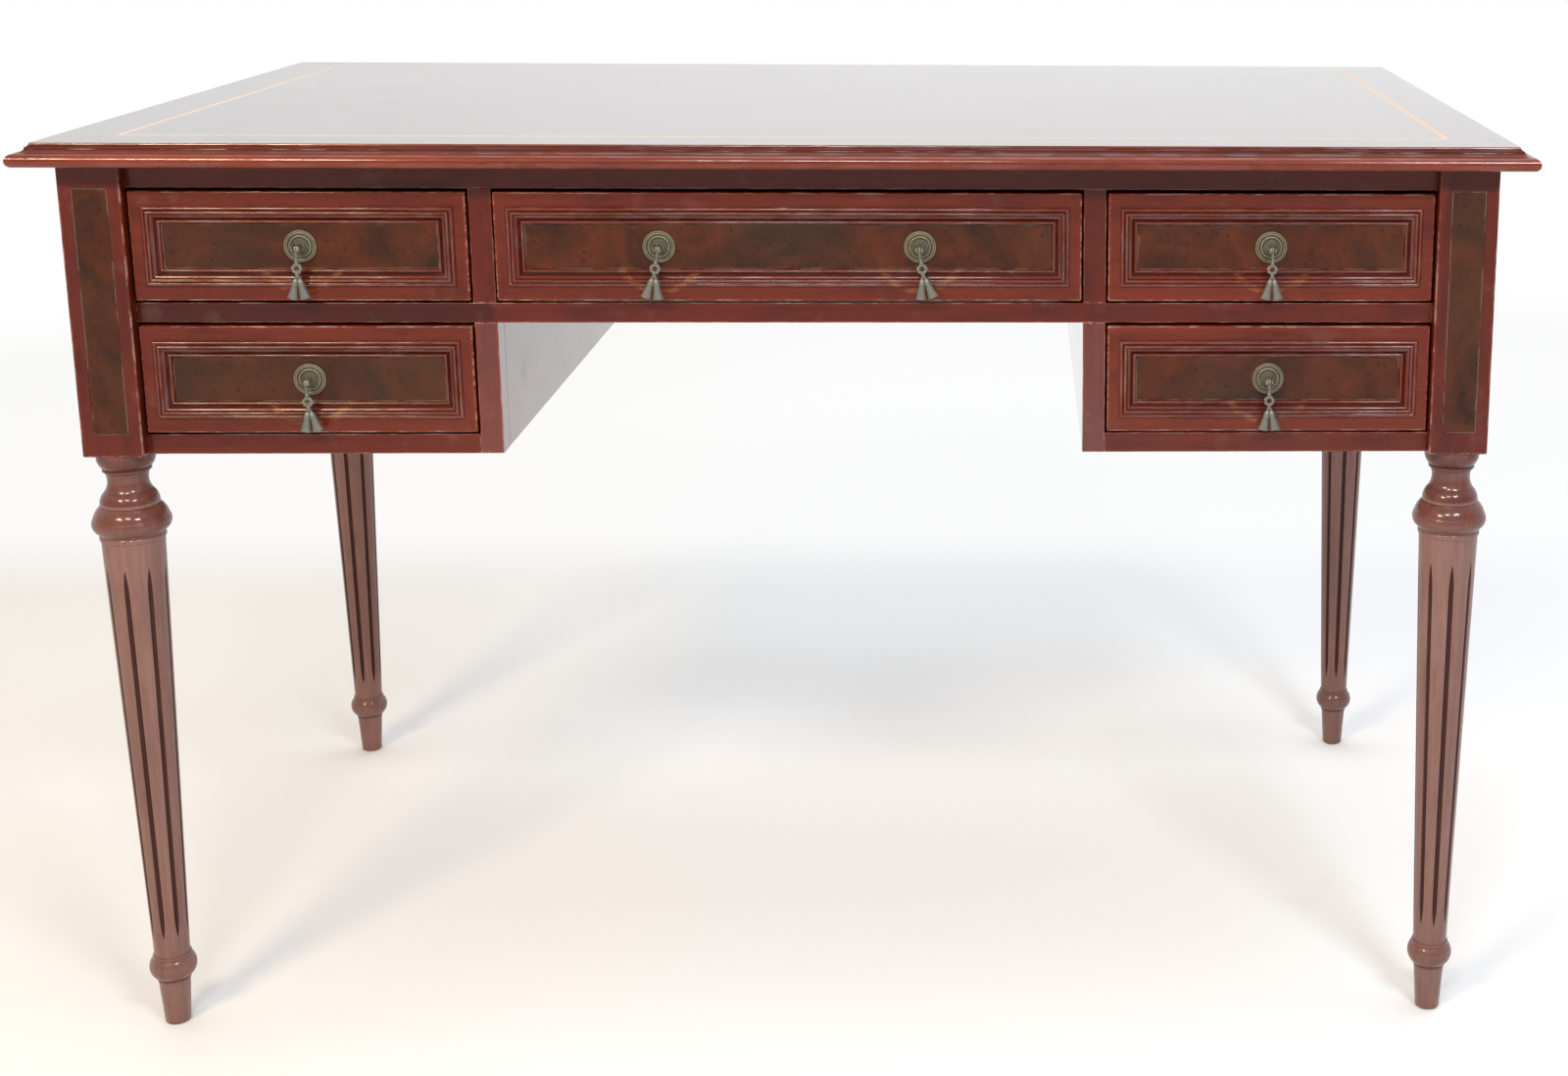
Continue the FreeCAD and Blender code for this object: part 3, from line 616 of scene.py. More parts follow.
@settled
def rail_wood(surface, finish):
    """The middle rail, with painted shade where it lies between two drawers."""
    polished_wood(surface, finish, "case", "X", gloss=0.26, chips_from=1.14, shade=0.6)


@settled
def kneehole_wood(surface, finish, grain):
    """The kneehole's walls and stiles, which have kept more of their polish. Their lighter colour is
    painted light, for the light these walls catch.
    """
    # lighter=1.25 is painted light: a lighter copy of the case colour.
    polished_wood(
        surface, finish, "case", grain, gloss=0.2, chips_from=1.2, lighter=1.25, coat=1.0,
        relief=0.25,
    )


@settled
def drawer_wood(surface, finish, grain, drawer):
    polished_wood(surface, finish, "drawer", grain, gloss=0.22, chips_from=1.12, drawer=drawer)


@settled
def moulding_wood(surface, finish, grain, drawer):
    """The drawers' mouldings: darker than the fronts, and glossy."""
    polished_wood(
        surface, finish, "drawer", grain, gloss=0.16, chips_from=1.08, lighter=0.78, coat=1.0,
        edge_line=0.1, patchy=0.6, drawer=drawer,
    )


@settled
def edge_wood(surface, finish, grain):
    polished_wood(
        surface, finish, "edge", grain, gloss=0.18, chips_from=1.05, coat=0.75, edge_line=0.1,
        patchy=0.5,
    )


@settled
def leg_wood(surface, finish, grain):
    polished_wood(
        surface, finish, "leg", grain, gloss=0.2, chips_from=1.16, coat=0.5, edge_line=0.1
    )


@settled
def top_veneer(surface, finish):
    """The top: long quiet veneer under a level, glossy polish with faint scratches. The
    polish has gone duller towards the left end."""
    flow = surface.streaks("X", 9, 9, detail=4, distortion=0.8)
    streak = surface.streaks("X", 320, 30, detail=4, roughness=0.65)
    pores = surface.streaks("X", 1500, 24, detail=2).step(0.60, 0.72)
    tone = (flow * 1.1 + streak * 0.6 - 0.45).clamped()
    surface.colour = surface.blend(tone, finish.top_dark, finish.top_light)
    surface.cover(pores * 0.4, finish.case_dark)
    smear = surface.noise(4.5, detail=5, roughness=0.65)
    scratches = surface.streaks("X", 900, 60, detail=1).step(0.74, 0.80)
    scratches += surface.streaks("Y", 800, 50, detail=1).step(0.75, 0.80)
    marks = scratches * surface.noise(6, detail=1).step(0.45, 0.62)
    stain = surface.noise(13, detail=4).step(0.70, 0.80) * 0.6
    left = surface.separate(surface.place)[0].step(0.1, -0.65)
    surface.set(
        Base_Color=surface.colour,
        Roughness=(0.13 + smear * 0.14 + marks * 0.12 + stain * 0.25).clamped(),
        Specular_IOR_Level=0.5,
        Coat_Weight=(1 - stain * 0.25 - left * 0.3).clamped(),
        Coat_Roughness=0.07,
    )
    surface.bump(streak * 0.15 - pores * 0.35 - marks * 0.5 + smear * 0.6, TOP_RELIEF)


@settled
def burl(surface, finish):
    """Dark burl veneer: swirling clouds with small eyes, under a thin dull polish."""
    swirl = surface.noise(17, detail=4, distortion=1.6)
    fine = surface.noise(160, detail=4, roughness=0.7, distortion=1.0)
    eyes = surface.node("ShaderNodeTexVoronoi", {"Vector": surface.place, "Scale": 95.0})
    eye = Value(surface, eyes.outputs["Distance"]).step(0.22, 0.06)
    green = surface.noise(6).step(0.42, 0.66)
    tone = (swirl * 1.5 + fine * 0.7 - 0.72).clamped()
    surface.colour = surface.blend(tone, finish.burl_dark, finish.burl_light)
    surface.cover(green * 0.3, BURL_GREEN)
    surface.cover(eye * 0.5, times(finish.burl_dark, 0.5))
    worn = surface.attribute("worn")
    dust = surface.noise(60, detail=4).step(0.55, 0.8) * worn
    surface.cover(dust * 0.35, BURL_DUST)
    line = worn.step(0.72, 1.0) * surface.noise(45, detail=4).step(0.38, 0.55)
    surface.cover(line * 0.4, BURL_RIM)
    surface.set(
        Base_Color=surface.colour,
        Roughness=(0.30 + fine * 0.18 + dust * 0.2).clamped(),
        Specular_IOR_Level=0.13,
        Coat_Weight=0.15,
        Coat_Roughness=0.2,
    )
    surface.bump(fine * 0.6 - eye * 0.4, BURL_RELIEF)


@settled
def inlay_line(surface, finish):
    """Pale boxwood line, yellowed by the polish over it."""
    grain = surface.noise(420)
    age = surface.noise(12, detail=2)
    surface.colour = surface.blend(grain * 0.5, finish.inlay, times(finish.inlay, 0.55))
    surface.cover(age.step(0.5, 0.8) * 0.3 + 0.25, OLD_INLAY)
    surface.set(
        Base_Color=surface.colour,
        Roughness=(0.14 + grain * 0.12).clamped(),
        Specular_IOR_Level=0.3,
        Coat_Weight=0.3,
        Coat_Roughness=0.08,
    )
    surface.bump(grain, INLAY_RELIEF)


@settled
def inside_wood(surface, finish, grain):
    """Plain unpolished wood of the drawer boxes and the bars that carry them."""
    flow = surface.streaks(grain, 22, 10, detail=4, distortion=0.5)
    rings = (flow * 26).math("SINE") * 0.5 + 0.5
    streak = surface.streaks(grain, 420, 30, detail=4, roughness=0.7)
    tone = (rings * 0.35 + streak * 0.6).clamped()
    surface.colour = surface.blend(tone, finish.inside, times(finish.inside, 0.5))
    surface.cover(surface.noise(5, detail=4).step(0.45, 0.75) * 0.4, OLD_INSIDE)
    surface.set(Base_Color=surface.colour, Roughness=(0.62 + streak * 0.2).clamped())
    surface.bump(streak + rings * 0.3, INSIDE_RELIEF)


@settled
def aged_metal(surface, finish, part):
    """Cast pulls: dull patina, bright where hands have rubbed them. The plates are yellower
    than the drops."""
    metal, patina = (
        [a * b for a, b in zip(colour, METAL_TINTS[part])]
        for colour in (finish.metal, finish.patina)
    )
    fine = surface.noise(900, detail=4, roughness=0.65)
    broad = surface.noise(170)
    bare = (surface.attribute("worn") * 0.75 + fine * 0.5 + broad * 0.35 - 0.55).clamped()
    surface.colour = surface.blend(bare, patina, metal)
    surface.cover(broad.step(0.5, 0.7) * (1 - bare) * 0.4, WARM_METAL)
    surface.set(
        Base_Color=surface.colour,
        Metallic=(0.35 + bare * 0.5).clamped(),
        Roughness=(0.55 - bare * 0.18 + fine * 0.1).clamped(),
    )
    surface.bump(fine, METAL_RELIEF, 0.7)


@settled
def steel(surface, _):
    """Plain bright steel of the screws and bolts, a little tarnished."""
    tarnish = surface.noise(260, detail=4)
    surface.set(
        Base_Color=surface.blend(tarnish.step(0.4, 0.7), BRIGHT_STEEL, DULL_STEEL),
        Metallic=0.9,
        Roughness=(0.34 + tarnish * 0.25).clamped(),
    )
    surface.bump(tarnish, STEEL_RELIEF)


def circle_through(first, middle, last):
    """Centre of the circle through three points of a plane."""
    a, b = middle - first, last - first
    scale = 2 * a.cross(b)
    across = b.y * a.length_squared - a.y * b.length_squared
    up = a.x * b.length_squared - b.x * a.length_squared
    return first + Vector((across, up)) / scale


class Outline:
    """An outline of lines and arcs, drawn as points across and up."""

    def __init__(self, across, up, arc_steps=8):
        self.points = [Vector((across, up))]
        self.arc_steps = arc_steps
        self.seen = None

    def line(self, across, up):
        point = Vector((across, up))
        if (point - self.points[-1]).length > TINY:
            self.points.append(point)
        return self

    def arc(self, mid_across, mid_up, across, up):
        start, middle, end = self.points[-1], Vector((mid_across, mid_up)), Vector((across, up))
        centre = circle_through(start, middle, end)
        spokes = [point - centre for point in (start, middle, end)]
        turn = math.copysign(1, (middle - start).cross(end - middle))
        pairs = zip(spokes, spokes[1:])
        sweep = sum(turn * math.atan2(a.cross(b), a.dot(b)) for a, b in pairs)
        for step in range(1, self.arc_steps):
            angle = turn * sweep * step / self.arc_steps
            self.points.append(centre + Matrix.Rotation(angle, 2) @ spokes[0])
        self.points.append(end)
        return self

    def follow(self, shares, width, rise, recess=0):
        """Draws a table of shares: two numbers are a line's end, four an arc's middle and end.
        Each pair is a share of the width and one of the rise or, where negative, the recess.
        Only what is drawn like this is in sight and gets worn."""
        first = len(self.points) - 1
        for row in shares:
            sized = []
            for across, up in zip(row[::2], row[1::2]):
                sized += [across * width, up * (rise if up > 0 else recess)]
            draw = self.line if len(sized) == 2 else self.arc
            draw(*sized)
        self.seen = range(first, len(self.points))
        return self

    def turned_round(self):
        """The same outline drawn from its other end."""
        self.points.reverse()
        last = len(self.points) - 1
        self.seen = range(last - self.seen[-1], last - self.seen[0] + 1)
        return self

    def prominence(self, reach, way=1):
        """How far each point stands out of the outline round it, or behind it where way is -1,
        from 0 to 1."""
        points = self.points
        lengths = [0]
        for a, b in zip(points, points[1:]):
            lengths.append(lengths[-1] + (b - a).length)

        def at(distance):
            distance = min(max(distance, 0), lengths[-1])
            i = next(i for i in range(1, len(points)) if lengths[i] >= distance)
            share = (distance - lengths[i - 1]) / max(lengths[i] - lengths[i - 1], TINY)
            return points[i - 1].lerp(points[i], share)

        marks = []
        for point, length in zip(points, lengths):
            before, after = at(length - reach), at(length + reach)
            chord = (after - before).normalized()
            out = (point - (before + after) / 2).dot(Vector((chord.y, -chord.x)))
            marks.append(min(max(way * out / (FULL_WEAR_SHARE * reach), 0), 1))
        if self.seen:
            marks = [mark if i in self.seen else 0 for i, mark in enumerate(marks)]
        return marks

    def mesh(self, name, closed):
        """A wire mesh of the outline in the XY plane that knows what is worn and hollow."""
        made = bpy.data.meshes.new(name)
        count = len(self.points)
        edges = [(i, (i + 1) % count) for i in range(count if closed else count - 1)]
        made.from_pydata([(*point, 0) for point in self.points], edges, [])
        # The hollow marks are used to paint shade into the hollows.
        for label, way in (("worn", 1), ("hollow", -1)):
            mark(made, label, self.prominence(WEAR_REACH, way))
        return made


def mark(mesh, label, values):
    """Writes a number on each point of a mesh."""
    mesh.attributes.new(label, "FLOAT", "POINT").data.foreach_set("value", values)


def new_tree(name, inputs):
    """A geometry node tree with a geometry input and output, and its named inputs."""
    tree = bpy.data.node_groups.new(name, "GeometryNodeTree")
    tree.interface.new_socket("Geometry", in_out="OUTPUT", socket_type="NodeSocketGeometry")
    for label, kind in {"Geometry": "Geometry", **inputs}.items():
        tree.interface.new_socket(label, in_out="INPUT", socket_type="NodeSocket" + kind)
    graph = Graph(tree)
    return graph, graph.node("NodeGroupInput").outputs


def set_material(graph, geometry, material):
    return graph.first("GeometryNodeSetMaterial", {"Geometry": geometry, "Material": material})


def finish_tree(graph, geometry, material=None):
    """Ends a tree in Realize Instances and, where its pieces have none yet, Set Material."""
    geometry = graph.first("GeometryNodeRealizeInstances", {0: geometry})
    if material is not None:
        geometry = set_material(graph, geometry, material)
    graph.node("NodeGroupOutput", {0: geometry})
    return graph.tree


def mitred_frame_tree():
    """Four strips of one section, mitred round a rectangle that looks up. The section lies
    in the XY plane, as distances inwards and up."""
    woods = {"Wood along the width": "Material", "Wood along the height": "Material"}
    graph, given = new_tree("mitred_frame", {"Width": "Float", "Height": "Float", **woods})
    section = graph.first("GeometryNodeMeshToCurve", {0: given["Geometry"]})
    strips = graph.node("GeometryNodeJoinGeometry")
    for quarter in range(4):
        ends = ("Width", "Height") if quarter % 2 == 0 else ("Height", "Width")
        length, reach = (Value(graph, given[end]) for end in ends)
        start, stop = (graph.combine(0, 0, length / half) for half in (-2, 2))
        run = graph.first("GeometryNodeCurvePrimitiveLine", {"Start": start, "End": stop})
        sweep = {"Curve": run, "Profile Curve": section, "Fill Caps": True}
        strip = graph.first("GeometryNodeCurveToMesh", sweep)
        inwards, up, along = graph.separate(graph.first("GeometryNodeInputPosition"))
        place = graph.combine(along * (1 - 2 * inwards / length), inwards - reach / 2, up)
        mitred = graph.first("GeometryNodeSetPosition", {"Geometry": strip, "Position": place})
        turn = {"Geometry": mitred, "Rotation": (0, 0, quarter * math.pi / 2)}
        turned = graph.first("GeometryNodeTransform", turn)
        coated = set_material(graph, turned, given["Wood along the " + ends[0].lower()])
        graph.tree.links.new(coated, strips.inputs[0])
    return finish_tree(graph, strips.outputs[0])


def fluted_leg_tree():
    """Turns a half outline round Z and cuts its flutes. Each point of the outline carries the
    flute's half width and depth at its level, and how worn, hollow and faded it is."""
    inputs = {"Flutes": "Int", "Columns to a flute": "Int", "Wood": "Material"}
    graph, given = new_tree("fluted_leg", inputs)
    outline = given["Geometry"]
    rows = graph.value("GeometryNodeAttributeDomainSize", {0: outline})
    flutes, columns = (Value(graph, given[label]) for label in ("Flutes", "Columns to a flute"))
    counts = {"Vertices X": flutes * columns + 1, "Vertices Y": rows}
    grid = graph.first("GeometryNodeMeshGrid", counts)
    index = graph.value("GeometryNodeInputIndex")
    row = (index + 0.5) % rows - 0.5
    column = ((index + 0.5) / rows).math("FLOOR")

    def sampled(kind, source):
        sockets = {"Geometry": outline, "Value": source, "Index": row.math("ROUND")}
        return graph.first("GeometryNodeSampleIndex", sockets, data_type=kind)

    def carried(name):
        source = graph.first("GeometryNodeInputNamedAttribute", {"Name": name}, data_type="FLOAT")
        return Value(graph, sampled("FLOAT", source))

    spot = sampled("FLOAT_VECTOR", graph.first("GeometryNodeInputPosition"))
    radius, level, _ = graph.separate(spot)
    half_width, depth, worn, faded = map(carried, ("half_width", "depth", "worn", "faded"))
    # Painted shade for the outline's hollows, such as the cove under a ring, less where the polish is
    # faded.
    hollow_shade = carried("hollow") * (1 - faded)

    pitch = math.tau / flutes
    sector = ((column + 0.5) / columns).math("FLOOR")
    across = (column / columns - sector) * 2 - 1
    inside = across.math("ABSOLUTE") * COLUMNS_TO_FLUTE
    hollow = inside.math("MINIMUM", 1.0) * (math.pi / 2)
    land = (inside - 1).math("MAXIMUM", 0.0) / (COLUMNS_TO_FLUTE - 1)
    half_angle = half_width / radius.math("MAXIMUM", SLIVER)
    turn = half_angle * hollow.math("SINE") + (pitch / 2 - half_angle) * land
    angle = sector * pitch + turn * across.math("SIGN")
    cut = radius - depth * hollow.math("COSINE").math("MAXIMUM", 0.0)
    place = graph.combine(cut * angle.math("COSINE"), cut * angle.math("SINE"), level)
    leg = graph.first("GeometryNodeSetPosition", {"Geometry": grid, "Position": place})
    lip = (1 - (inside - 1).math("ABSOLUTE") * 3).math("MAXIMUM", 0.0)
    lip = lip * (depth * LIP_WORN_TO_DEPTH).math("MINIMUM", LIP_WORN)
    # Painted shade along each flute's floor, stronger where the flute is deeper.
    floor = hollow.math("COSINE") * (depth / MM).math("MINIMUM", 1.0)
    for label, value in (
        ("worn", worn.math("MAXIMUM", lip)),
        ("hollow", floor.math("MAXIMUM", hollow_shade)),
        ("faded", faded),
    ):
        sockets = {"Geometry": leg, "Name": label, "Value": value}
        leg = graph.first(
            "GeometryNodeStoreNamedAttribute", sockets, data_type="FLOAT", domain="POINT"
        )
    leg = graph.first("GeometryNodeMergeByDistance", {"Geometry": leg, "Distance": JOIN_REACH})
    return finish_tree(graph, leg, given["Wood"])


def bead_ring_tree():
    """Beads, one on each point that comes in."""
    graph, given = new_tree("bead_ring", {"Bead radius": "Float", "Metal": "Material"})
    size = {"Segments": BEAD_SIDES, "Rings": BEAD_RINGS, "Radius": given["Bead radius"]}
    bead = graph.first("GeometryNodeMeshUVSphere", size)
    spread = {"Points": given["Geometry"], "Instance": bead}
    beads = graph.first("GeometryNodeInstanceOnPoints", spread)
    return finish_tree(graph, beads, given["Metal"])


def new_object(name, data):
    """An object in the scene."""
    made = bpy.data.objects.new(name, data)
    bpy.context.scene.collection.objects.link(made)
    return made


def grown(mesh, maker, inputs):
    """The plain mesh that a node tree makes of a mesh, which is used up."""
    source = new_object(mesh.name, mesh)
    modifier = source.modifiers.new("grow", "NODES")
    known = bpy.data.node_groups.get(maker.__name__.removesuffix("_tree"))
    modifier.node_group = known or maker()
    for item in modifier.node_group.interface.items_tree:
        if item.name in inputs:
            modifier[item.identifier] = inputs[item.name]
    depsgraph = bpy.context.evaluated_depsgraph_get()
    made = bpy.data.meshes.new_from_object(
        source.evaluated_get(depsgraph), preserve_all_data_layers=True, depsgraph=depsgraph
    )
    bpy.data.objects.remove(source)
    bpy.data.meshes.remove(mesh)
    return made


def smoothed(mesh, angle):
    """Shades a mesh smooth, apart from its sharp edges."""
    mesh.polygons.foreach_set("use_smooth", [True] * len(mesh.polygons))
    mesh.set_sharp_from_angle(angle=math.radians(angle))
    return mesh


def settle(built, name, material=None):
    """Turns a bmesh into a mesh."""
    mesh = bpy.data.meshes.new(name)
    built.to_mesh(mesh)
    built.free()
    if material:
        mesh.materials.append(material)
    return mesh


def hand_over(mesh, target):
    """Moves all that is in a mesh into a bmesh."""
    target.from_mesh(mesh)
    bpy.data.meshes.remove(mesh)


def piece(name, mesh, body, node):
    """A finished object that rides on a body and stands for a node."""
    mesh.name = name
    made = new_object(name, mesh)
    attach(made, body)
    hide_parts(node)


def coat(node, material):
    """Gives a node of the frame another material."""
    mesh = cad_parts[node].data
    mesh.materials.clear()
    mesh.materials.append(material)


def corners(node, side=0):
    """Lowest and highest corner of a node, or of its part on one side of the desk."""
    points = [v.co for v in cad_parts[node].data.vertices if v.co.x * side >= 0]
    return [Vector([pick(p[i] for p in points) for i in range(3)]) for pick in (min, max)]


def board(target, low, high, arris, pocket=None):
    """Adds a board with softened arrises to a bmesh. Its points carry how worn they are.
    A pocket is given as its low and high corner in the front face."""
    reach = bpy.context.scene.desk_sizes.rub_reach
    made = bmesh.new()
    worn = made.verts.layers.float.new("worn")
    place = Matrix.Translation((low + high) / 2) @ Matrix.Diagonal((*(high - low), 1))
    bmesh.ops.create_cube(made, size=1, matrix=place)
    bmesh.ops.bevel(
        made, geom=made.edges[:], offset=arris, segments=ARRIS_STEPS, profile=0.5, affect="EDGES"
    )
    flats = sorted(made.faces, key=lambda face: face.calc_area())[-6:]
    for face in made.faces:
        face.smooth = face not in flats
    for vertex in made.verts:
        vertex[worn] = 1
    for face in flats:
        narrow = min(edge.calc_length() for edge in face.edges)
        rim = bmesh.ops.inset_individual(made, faces=[face], thickness=min(reach, narrow / 3))
        for part in rim["faces"]:
            part.smooth = False
        for vertex in face.verts:
            vertex[worn] = 0
    if pocket:
        front = min(flats, key=lambda face: face.calc_center_median().y)
        middle = front.calc_center_median()
        bmesh.ops.inset_individual(made, faces=[front], thickness=SLIVER)
        for vertex in front.verts:
            for axis in (0, 2):
                vertex.co[axis] = pocket[vertex.co[axis] > middle[axis]][axis]
        bmesh.ops.inset_individual(made, faces=[front], thickness=HAIR, depth=-pocket[1].y)
    hand_over(settle(made, "board"), target)


def boards(name, node, body, material, boxes, arris, pocket=None):
    """One piece of one or more boards, in place of a node."""
    built = bmesh.new()
    for low, high in boxes:
        board(built, low, high, arris, pocket)
    piece(name, settle(built, name, material), body, node)


def framed(name, outline, width, height, along_width, along_height):
    """A mitred frame of an outline's section, looking up."""
    inputs = {"Width": width, "Height": height}
    inputs.update({"Wood along the width": along_width, "Wood along the height": along_height})
    return smoothed(grown(outline.mesh(name, True), mitred_frame_tree, inputs), FRAME_SHARP)


def worn_layer(target):
    """Where a bmesh keeps how worn each point is."""
    layers = target.verts.layers.float
    return layers.get("worn") or layers.new("worn")


def skin(target, rings, ridge=WORN_SKIN):
    """Joins rings of points, from low to high, into a closed shell in a bmesh."""
    worn = worn_layer(target)
    rows = []
    for points in rings:
        rows.append([target.verts.new(point) for point in points])
        for vertex in rows[-1]:
            vertex[worn] = ridge
    for lower, upper in zip(rows, rows[1:]):
        for i in range(len(lower)):
            target.faces.new((lower[i - 1], lower[i], upper[i], upper[i - 1]))
    target.faces.new(rows[0][::-1])
    target.faces.new(rows[-1])
    return rows


def ellipse(count, wide, deep, swell=0, swells=0):
    """Points round an ellipse, which can swell by a share a number of times on its way."""
    points = []
    for i in range(count):
        angle = math.tau * i / count
        size = 1 + swell * math.cos(swells * angle)
        points.append(Vector((wide * size * math.cos(angle), deep * size * math.sin(angle))))
    return points


def ring(radius, level, count):
    """Points round Z."""
    return [Vector((*point, level)) for point in ellipse(count, radius, radius)]


def lathe(target, outline, count, ridges=None):
    """A turned shape, from a list of radius and height."""
    rows = skin(target, [ring(max(radius, 2 * HAIR), level, count) for radius, level in outline])
    worn = worn_layer(target)
    for row, ridge in zip(rows, ridges or ()):
        for vertex in row:
            vertex[worn] = ridge


def bar(target, radius, start, end, count=BAR_SIDES, bevel=BAR_BEVEL):
    """A round bar between two points, with softened ends."""
    along = (end - start).normalized()
    turn = along.to_track_quat("Z", "Y").to_matrix()
    length = (end - start).length
    soft = min(bevel, radius / 3)
    outline = ((radius - soft, 0), (radius, soft), (radius, length - soft), (radius - soft, length))
    skin(target, [[start + turn @ point for point in ring(r, h, count)] for r, h in outline])


def torus(target, radius, section, count, centre, turn=Matrix.Identity(3), twist=0):
    """A closed ring of any section round Z, then turned. The section is given as out and
    along, and can twist a number of times on its way round."""
    worn = worn_layer(target)
    rows = []
    for i in range(count):
        angle = math.tau * i / count
        out = Vector((math.cos(angle), math.sin(angle), 0))
        spin = Matrix.Rotation(angle * twist, 2)
        rows.append([])
        for point in section:
            across, up = spin @ point
            place = out * (radius + across) + Vector((0, 0, up))
            rows[-1].append(target.verts.new(centre + turn @ place))
            rows[-1][-1][worn] = WORN_HOOP
    size = len(section)
    for i in range(count):
        here, there = rows[i - 1], rows[i]
        shift = round(twist * size) % size if i == 0 else 0
        for j in range(size):
            before, after = here[(j - 1 + shift) % size], here[(j + shift) % size]
            target.faces.new((before, there[j - 1], there[j], after))


class DESK_OT_top(bpy.types.Operator):
    """Makes the top's moulded edge and finishes the board and its inlaid line."""

    bl_idname = "desk.top"
    bl_label = "Top"
    bl_options = {"REGISTER", "UNDO"}

    def execute(self, context):
        low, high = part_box("top_edge_moulding")
        size = high - low
        outline = Outline(EDGE_STRIP_WIDTH, 0)
        flat_end = EDGE_MOULD_WIDTH + context.scene.desk_sizes.rub_reach / 2
        for across in (EDGE_STRIP_WIDTH, flat_end, EDGE_MOULD_WIDTH):
            outline.line(across, size.z)
        outline.follow(EDGE_SHARES, EDGE_MOULD_WIDTH, size.z)
        mesh = framed("top_edge_strips", outline, size.x, size.y, edge_wood("X"), edge_wood("Y"))
        mesh.transform(Matrix.Translation((0, 0, low.z)))
        mesh.materials.append(top_veneer())
        for face in mesh.polygons:
            if face.center.z > high.z - HAIR:
                face.material_index = len(mesh.materials) - 1
        piece("top_edge_strips", mesh, "desk", "top_edge_moulding")
        coat("top_board", top_veneer())
        coat("top_inlaid_line", inlay_line())
        return {"FINISHED"}


class DESK_OT_case(bpy.types.Operator):
    """Makes the posts, rails, uprights and panels of the case with worn arrises."""

    bl_idname = "desk.case"
    bl_label = "Case"
    bl_options = {"REGISTER", "UNDO"}

    def execute(self, context):
        def case(name, node, wood, boxes, arris, pocket=None):
            boards(name, node, "desk", wood, boxes, arris, pocket)

        for side, sign in SIDES.items():
            panel_low, panel_high = corners("post_panels", sign)
            for row in ("front", "back"):
                node = f"post_{row}_{side}"
                low, high = corners(node)
                pocket = None
                if row == "front":
                    depth = panel_high.y - low.y
                    pocket = (panel_low, Vector((panel_high.x, depth, panel_high.z)))
                case(f"{side}_{row}_post", node, case_wood("Z"), [(low, high)], POST_ARRIS, pocket)
            for wall, wood in (("end_panel", case_wood), ("kneehole_panel", kneehole_wood)):
                node = f"{wall}_{side}"
                arris = context.scene.desk_sizes.arris
                case(f"{side}_{wall}", node, wood("Y"), [corners(node)], arris)
        boards(
            "post_burl_panels", "post_panels", "desk", burl(),
            [corners("post_panels", sign) for sign in SIDES.values()], BURL_PANEL_ARRIS,
        )
        for node, wood in (
            ("front_top_rail", case_wood("X")),
            ("front_middle_rail", rail_wood()),
            ("back_apron", case_wood("X")),
        ):
            case(node + "_worn", node, wood, [corners(node)], RAIL_ARRIS)
        for node, wood in (
            ("front_bottom_rails", case_wood("X")),
            ("pedestal_backs", case_wood("X")),
            ("upper_stiles", case_wood("Z")),
            ("pedestal_stiles", kneehole_wood("Z")),
        ):
            pair = [corners(node, sign) for sign in SIDES.values()]
            case(node + "_worn", node, wood, pair, RAIL_ARRIS)
        return {"FINISHED"}


def leg_outline(height):
    """Outline of a leg from the middle of its foot to the middle of its head, how faded
    each of its points is, and the levels of the shaft's ends."""
    pen = Outline(0, 0, arc_steps=10)
    faded = [1]
    level = 0
    foot_rise, head_rise = (sum(row[0] for row in rows) for rows in (FOOT_STEPS, HEAD_STEPS))
    shaft = (height / MM - head_rise - foot_rise, None, SHAFT_TOP_RADIUS, 1)
    for rise, middle, end, fade in (*FOOT_STEPS, shaft, *HEAD_STEPS):
        if middle is None:
            pen.line(end * MM, (level + rise) * MM)
        else:
            pen.arc(middle * MM, (level + rise / 2) * MM, end * MM, (level + rise) * MM)
        level += rise
        faded += [fade] * (len(pen.points) - len(faded))
    pen.line(0, height)
    return pen, faded + [0], foot_rise * MM, height - head_rise * MM


def fluted_leg(sizes):
    """Mesh of a leg round Z. Its outline gets extra points on the shaft for the flutes."""
    pen, faded, shaft_low, shaft_high = leg_outline(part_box("leg_front_left")[1].z)
    start, stop = shaft_low + FLUTE_START, shaft_high - FLUTE_STOP
    tips = [FLUTE_TIP * (step / FLUTE_TIP_STEPS) ** 2 for step in range(FLUTE_TIP_STEPS + 1)]
    run = stop - start - 2 * FLUTE_TIP
    shares = [step / FLUTE_RUN_STEPS for step in range(1, FLUTE_RUN_STEPS)]
    levels = [start + tip for tip in tips]
    levels += [start + FLUTE_TIP + run * share for share in shares]
    levels += [stop - tip for tip in reversed(tips)]
    points = pen.points
    i = max(range(1, len(points)), key=lambda i: (points[i] - points[i - 1]).length)
    foot, head = points[i - 1], points[i]
    points[i:i] = [foot.lerp(head, (z - foot.y) / (head.y - foot.y)) for z in levels]
    faded[i:i] = [1] * len(levels)

    half_widths, depths = [], []
    for point in points:
        taper = min((point.y - start) / FLUTE_TIP, (stop - point.y) / FLUTE_TIP, 1)
        taper = 1 - (1 - max(taper, 0)) ** 2
        half_widths.append(max(sizes.flute_width / 2 * taper, SLIVER))
        depths.append(sizes.flute_depth * taper)
    source = pen.mesh("leg_outline", False)
    mark(source, "half_width", half_widths)
    mark(source, "depth", depths)
    mark(source, "faded", faded)
    inputs = {"Flutes": sizes.flutes, "Columns to a flute": FLUTE_COLUMNS, "Wood": leg_wood("Z")}
    return smoothed(grown(source, fluted_leg_tree, inputs), LEG_SHARP)


